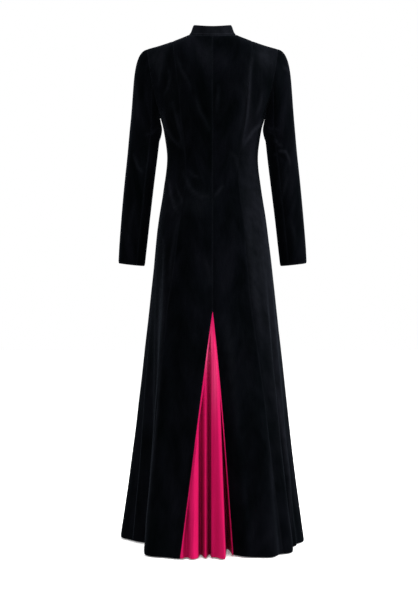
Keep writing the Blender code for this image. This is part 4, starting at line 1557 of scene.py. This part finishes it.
@dataclass(frozen=True)
class VelvetFinish:
    """Black velvet: a deep pile that is darkest face on, with a cool sheen at a slant.

    Attributes:
        name: The material's name.
        nap, nap_tones: Patches in which the pile stands up or lies over.
        streak, streak_tones: Fine streaks down the cloth.
        tufts, tuft_tones: The tufts of the pile.
        cloud, cloud_tones: Broad changes of tint.
        drift, haze_tones: Patches where a faint haze is added.
        blotch, blotch_tones: What breaks up the painted sheen on the pressed pile.
        added_sheen: The painted sheen's colour, added where the pile is pressed or catches the light on
            crests and patches.
        roughness: The roughness over the nap.
        specular: How much of its even shine is left.
        sheen: How strong the pile's sheen is.
        sheen_roughness: How widely it spreads.
        sheen_tint: Its colour.
        bumps: How strongly nap, streaks and tufts stand out.
        bump_depth: How deep they are.
    """

    name: str = "velvet_pile"
    nap: Pattern = Pattern(across=26.0, down=12.0, detail=5.0)
    nap_tones: Tones = Tones(0.36, (0.0010, 0.0014, 0.0017), 0.66, (0.0020, 0.0024, 0.0030))
    streak: Pattern = Pattern(across=170.0, down=30.0, detail=3.0)
    streak_tones: Tones = Tones(0.30, (0.72, 0.72, 0.76), 0.70, 1.0)
    tufts: Pattern = Pattern(across=900.0, down=540.0, detail=2.0)
    tuft_tones: Tones = Tones(0.30, (0.50, 0.50, 0.54), 0.75, 1.0)
    cloud: Pattern = Pattern(across=8.0, down=5.0, detail=4.0)
    cloud_tones: Tones = Tones(0.35, (0.55, 0.66, 0.62), 0.65, (1.0, 0.94, 1.0))
    drift: Pattern = Pattern(across=15.0, down=8.0, detail=6.0)
    haze_tones: Tones = Tones(0.42, 0.0, 0.78, (0.0013, 0.0013, 0.0020))
    blotch: Pattern = Pattern(across=55.0, down=45.0, detail=3.0)
    blotch_tones: Tones = Tones(0.30, 0.50, 0.66, 1.0)
    added_sheen: Tones = Tones(0.0, 0.0, 1.0, (0.0075, 0.0080, 0.0105))
    roughness: Tones = Tones(0.30, 0.82, 0.70, 0.95)
    specular: float = 0.0
    sheen: float = 0.024
    sheen_roughness: float = 0.30
    sheen_tint: tuple = (0.66, 0.78, 1.0, 1.0)
    bumps: tuple = (0.35, 0.25, 0.45)
    bump_depth: float = 0.0012

    def build(self) -> Material:
        """Makes the material."""
        sheet = NodeSheet(self.name)
        nap, streak, tufts = (sheet.pattern(pattern) for pattern in (self.nap, self.streak, self.tufts))
        fine = sheet.ramp(tufts, self.tuft_tones)
        pile = sheet.combine(
            "MULTIPLY",
            sheet.ramp(nap, self.nap_tones),
            fine,
            sheet.ramp(streak, self.streak_tones),
            sheet.ramp(sheet.pattern(self.cloud), self.cloud_tones),
        )
        patchy = sheet.ramp(sheet.pattern(self.blotch), self.blotch_tones)
        # Painted sheen: a lighter colour, broken up in patches, added where the pile catches the light
        added_sheen = sheet.combine("MULTIPLY", sheet.ramp(sheet.painted_sheen(), self.added_sheen), patchy)
        haze = sheet.combine("MULTIPLY", sheet.ramp(sheet.pattern(self.drift), self.haze_tones), fine)
        sheet.bump(tuple(zip((nap, streak, tufts), self.bumps)), self.bump_depth)
        colour, rough = sheet.combine("ADD", pile, added_sheen, haze), sheet.ramp(nap, self.roughness)
        return sheet.finish(
            {"Base Color": colour, "Roughness": rough},
            {
                "Specular IOR Level": self.specular,
                "Sheen Weight": self.sheen,
                "Sheen Roughness": self.sheen_roughness,
                "Sheen Tint": self.sheen_tint,
            },
        )


@dataclass(frozen=True)
class BackingFinish:
    """The velvet's wrong side: a plain dark ground weave with no pile.

    Attributes:
        name: The material's name.
        threads_per_metre: Threads to the metre each way.
        thread_tones: The colours between the threads, darker as painted shade, and on them.
        uneven, uneven_tones: Patches where the dye is thinner.
        roughness: Its roughness.
        specular: How much of its even shine is left.
        bumps: How strongly threads and patches stand out.
        bump_depth: How deep they are.
    """

    name: str = "velvet_ground"
    threads_per_metre: float = 1400.0
    thread_tones: Tones = Tones(0.20, (0.0020, 0.0021, 0.0025), 0.80, (0.0060, 0.0062, 0.0072))
    uneven: Pattern = Pattern(across=40.0, down=40.0, detail=3.0)
    uneven_tones: Tones = Tones(0.30, 0.70, 0.70, 1.0)
    roughness: float = 0.85
    specular: float = 0.02
    bumps: tuple = (0.4, 0.3)
    bump_depth: float = 0.0003

    def build(self) -> Material:
        """Makes the material."""
        sheet = NodeSheet(self.name)
        checks = sheet.add("ShaderNodeTexChecker")
        checks.inputs["Scale"].default_value = 1.0
        threads = (self.threads_per_metre, self.threads_per_metre, 1.0)
        sheet.link(sheet.cloth_coordinates(threads), checks.inputs["Vector"])
        weave, uneven = checks.outputs["Fac"], sheet.pattern(self.uneven)
        tones = (sheet.ramp(weave, self.thread_tones), sheet.ramp(uneven, self.uneven_tones))
        sheet.bump(tuple(zip((weave, uneven), self.bumps)), self.bump_depth)
        return sheet.finish(
            {"Base Color": sheet.combine("MULTIPLY", *tones)},
            {"Roughness": self.roughness, "Specular IOR Level": self.specular},
        )


@dataclass(frozen=True)
class CrepeFinish:
    """Bright pink crepe: a fine crinkled weave with a soft matt glow.

    Attributes:
        name: The material's name.
        crinkle, crinkle_tones: The crinkles, and the colours in their hollows, darker as painted shade, and
            on their tops.
        broad, broad_tones: Broad uneven patches.
        painted_shine: The painted highlight colour that is added where the cloth catches the light.
        roughness: The roughness over the crinkles.
        specular: How much of its even shine is left.
        sheen: How strong the soft glow is.
        sheen_tint: Its colour.
        bumps: How strongly patches and crinkles stand out.
        bump_depth: How deep they are.
    """

    name: str = "pink_crepe_weave"
    crinkle: Pattern = Pattern(across=1100.0, down=385.0, detail=3.0)
    crinkle_tones: Tones = Tones(0.30, (0.27, 0.0013, 0.042), 0.70, (0.36, 0.0034, 0.060))
    broad: Pattern = Pattern(across=18.0, down=9.0, detail=3.0)
    broad_tones: Tones = Tones(0.25, 0.90, 0.75, 1.0)
    painted_shine: Tones = Tones(0.0, 0.0, 1.0, (0.22, 0.050, 0.095))
    roughness: Tones = Tones(0.20, 0.62, 0.80, 0.78)
    specular: float = 0.03
    sheen: float = 0.012
    sheen_tint: tuple = (1.0, 0.35, 0.55, 1.0)
    bumps: tuple = (0.2, 0.5)
    bump_depth: float = 0.0005

    def build(self) -> Material:
        """Makes the material."""
        sheet = NodeSheet(self.name)
        grain, broad = sheet.pattern(self.crinkle), sheet.pattern(self.broad)
        tones = (sheet.ramp(grain, self.crinkle_tones), sheet.ramp(broad, self.broad_tones))
        # Painted highlight, added as colour where the folds catch the light
        shine = sheet.ramp(sheet.painted_sheen(), self.painted_shine)
        sheet.bump(tuple(zip((broad, grain), self.bumps)), self.bump_depth)
        colour = sheet.combine("ADD", sheet.combine("MULTIPLY", *tones), shine)
        return sheet.finish(
            {"Base Color": colour, "Roughness": sheet.ramp(grain, self.roughness)},
            {"Specular IOR Level": self.specular, "Sheen Weight": self.sheen, "Sheen Tint": self.sheen_tint},
        )


@dataclass(frozen=True)
class StudioFinish:
    """The plain pale floor.

    Attributes:
        name: The material's name.
        mottle_per_metre: How many faint patches it has to the metre.
        mottle_detail: Their levels of detail.
        tones: Its tones, between which they lie.
        glow: The light from below, as from a lit studio table.
        roughness: Its roughness.
        specular: How much of its even shine is left.
    """

    name: str = "pale_floor"
    mottle_per_metre: float = 3.0
    mottle_detail: float = 2.0
    tones: Tones = Tones(0.30, 0.9108, 0.70, 0.92)
    glow: float = 0.22
    roughness: float = 0.9
    specular: float = 0.1

    def build(self) -> Material:
        """Makes the material."""
        sheet = NodeSheet(self.name)
        place = sheet.add("ShaderNodeTexCoord").outputs["Object"]
        mottle = sheet.noise(place, self.mottle_per_metre, self.mottle_detail)
        return sheet.finish(
            {"Base Color": sheet.ramp(mottle, self.tones)},
            {
                "Emission Color": WHITE,
                "Emission Strength": self.glow,
                "Roughness": self.roughness,
                "Specular IOR Level": self.specular,
            },
        )


# Studio


@dataclass(frozen=True)
class SoftBox:
    """One soft area light.

    Attributes:
        name: The light's name.
        place: Where it stands.
        aim: What it points at.
        size: Its width and height.
        watts: Its power.
    """

    name: str
    place: tuple
    aim: tuple
    size: tuple
    watts: float

    def build(self) -> None:
        """Adds the light."""
        data = bpy.data.lights.new(self.name, "AREA")
        data.shape = "RECTANGLE"
        data.size, data.size_y = self.size
        data.energy = self.watts
        light = bpy.data.objects.new(self.name, data)
        light.location = self.place
        way = Vector(self.aim) - Vector(self.place)
        light.rotation_euler = way.to_track_quat("-Z", "Y").to_euler()
        bpy.context.scene.collection.objects.link(light)


LIGHTS = table(
    SoftBox,
    "name place aim size watts",
    ("key_light", (-3.2, 1.0, 0.8), (0.0, 0.1, -0.6), (1.0, 2.2), 240.0),
    ("top_light", (0.1, 0.6, 2.8), (0.0, 0.1, -0.2), (1.6, 1.2), 115.0),
    ("front_light", (0.8, -4.0, 1.2), (0.0, 0.0, -0.7), (2.4, 2.4), 50.0),
)


@dataclass
class Studio:
    """A white studio, seen from the coat's back as in the photograph.

    Attributes:
        camera_place: Where the camera stands.
        lens: The lens, in mm.
        sensor: The longer side of its picture, in mm.
        floor_size: The side of the square floor.
        floor_drop: How far the floor lies below the hem.
        world_strength: The strength of the white surroundings.
    """

    camera_place: tuple = (0.010, 4.0, -0.758)
    lens: float = 83.6
    sensor: float = 36.0
    floor_size: float = 30.0
    floor_drop: float = 0.004
    world_strength: float = 1.0

    def add_camera(self) -> None:
        """Adds the camera and makes it the scene's own."""
        data = bpy.data.cameras.new("camera")
        data.lens = self.lens
        data.sensor_width = self.sensor
        camera = bpy.data.objects.new("camera", data)
        camera.location = self.camera_place
        camera.rotation_euler = (math.pi / 2, 0.0, math.pi)
        bpy.context.scene.collection.objects.link(camera)
        bpy.context.scene.camera = camera

    def add_floor(self, level: float) -> None:
        """Adds the floor at a level."""
        bpy.ops.object.select_all(action="DESELECT")
        bpy.ops.mesh.primitive_plane_add(size=self.floor_size, location=(0.0, 0.0, level))
        floor = bpy.context.object
        floor.name = "studio_floor"
        bpy.ops.object.transform_apply(location=True, rotation=True, scale=True)
        floor.data.materials.append(StudioFinish().build())

    def add_lights(self) -> None:
        """Adds the white surroundings and the soft boxes."""
        world = bpy.data.worlds.new("studio_white")
        world.use_nodes = True
        background = world.node_tree.nodes["Background"]
        background.inputs["Color"].default_value = WHITE
        background.inputs["Strength"].default_value = self.world_strength
        bpy.context.scene.world = world
        for light in LIGHTS:
            light.build()

    def build(self, level: float) -> None:
        """Sets the studio round the coat, with its hem at a level."""
        bpy.context.scene.view_settings.view_transform = "Standard"
        self.add_floor(level - self.floor_drop)
        self.add_lights()
        self.add_camera()


@dataclass
class VelvetCoat:
    """The whole coat.

    Attributes:
        form: The coat's surface.
        cut_across: How far apart on the cloth the pieces are cut, across it.
        cut_down: How far apart they are down it.
        cuts_down: How many places down it there are.
    """

    form: CoatForm
    cut_across: float = 0.73
    cut_down: float = 1.91
    cuts_down: int = 5

    def sheets(self) -> list[ClothSheet]:
        """Every cut piece as a sheet."""
        sheets = BodyPanels(self.form).sheets()
        sheets.append(StandCollar(self.form).sheet())
        for side in Side:
            sleeve = Sleeve(self.form, side)
            sheets += [sleeve.sheet("upper"), sleeve.sheet("under")]
        sheets.append(Godet(self.form).sheet())
        for number, sheet in enumerate(sheets):
            sheet.cut_place = (self.cut_across * number, self.cut_down * (number % self.cuts_down))
        return sheets

    def build(self) -> None:
        """Builds and dresses every piece."""
        velvet, ground, crepe = VelvetFinish().build(), BackingFinish().build(), CrepeFinish().build()
        for sheet in self.sheets():
            if sheet.slot == "pink_crepe":
                sheet.build(crepe, crepe)
            else:
                sheet.build(velvet, velvet if sheet.held is Held.FOLDED else ground)


def main() -> None:
    """Builds the coat and its studio."""
    logging.basicConfig(level=logging.INFO, format="%(name)s: %(message)s")
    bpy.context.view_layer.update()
    form = CoatForm()
    VelvetCoat(form).build()
    Studio().build(form.hem_z)


if __name__ == "__main__":
    main()
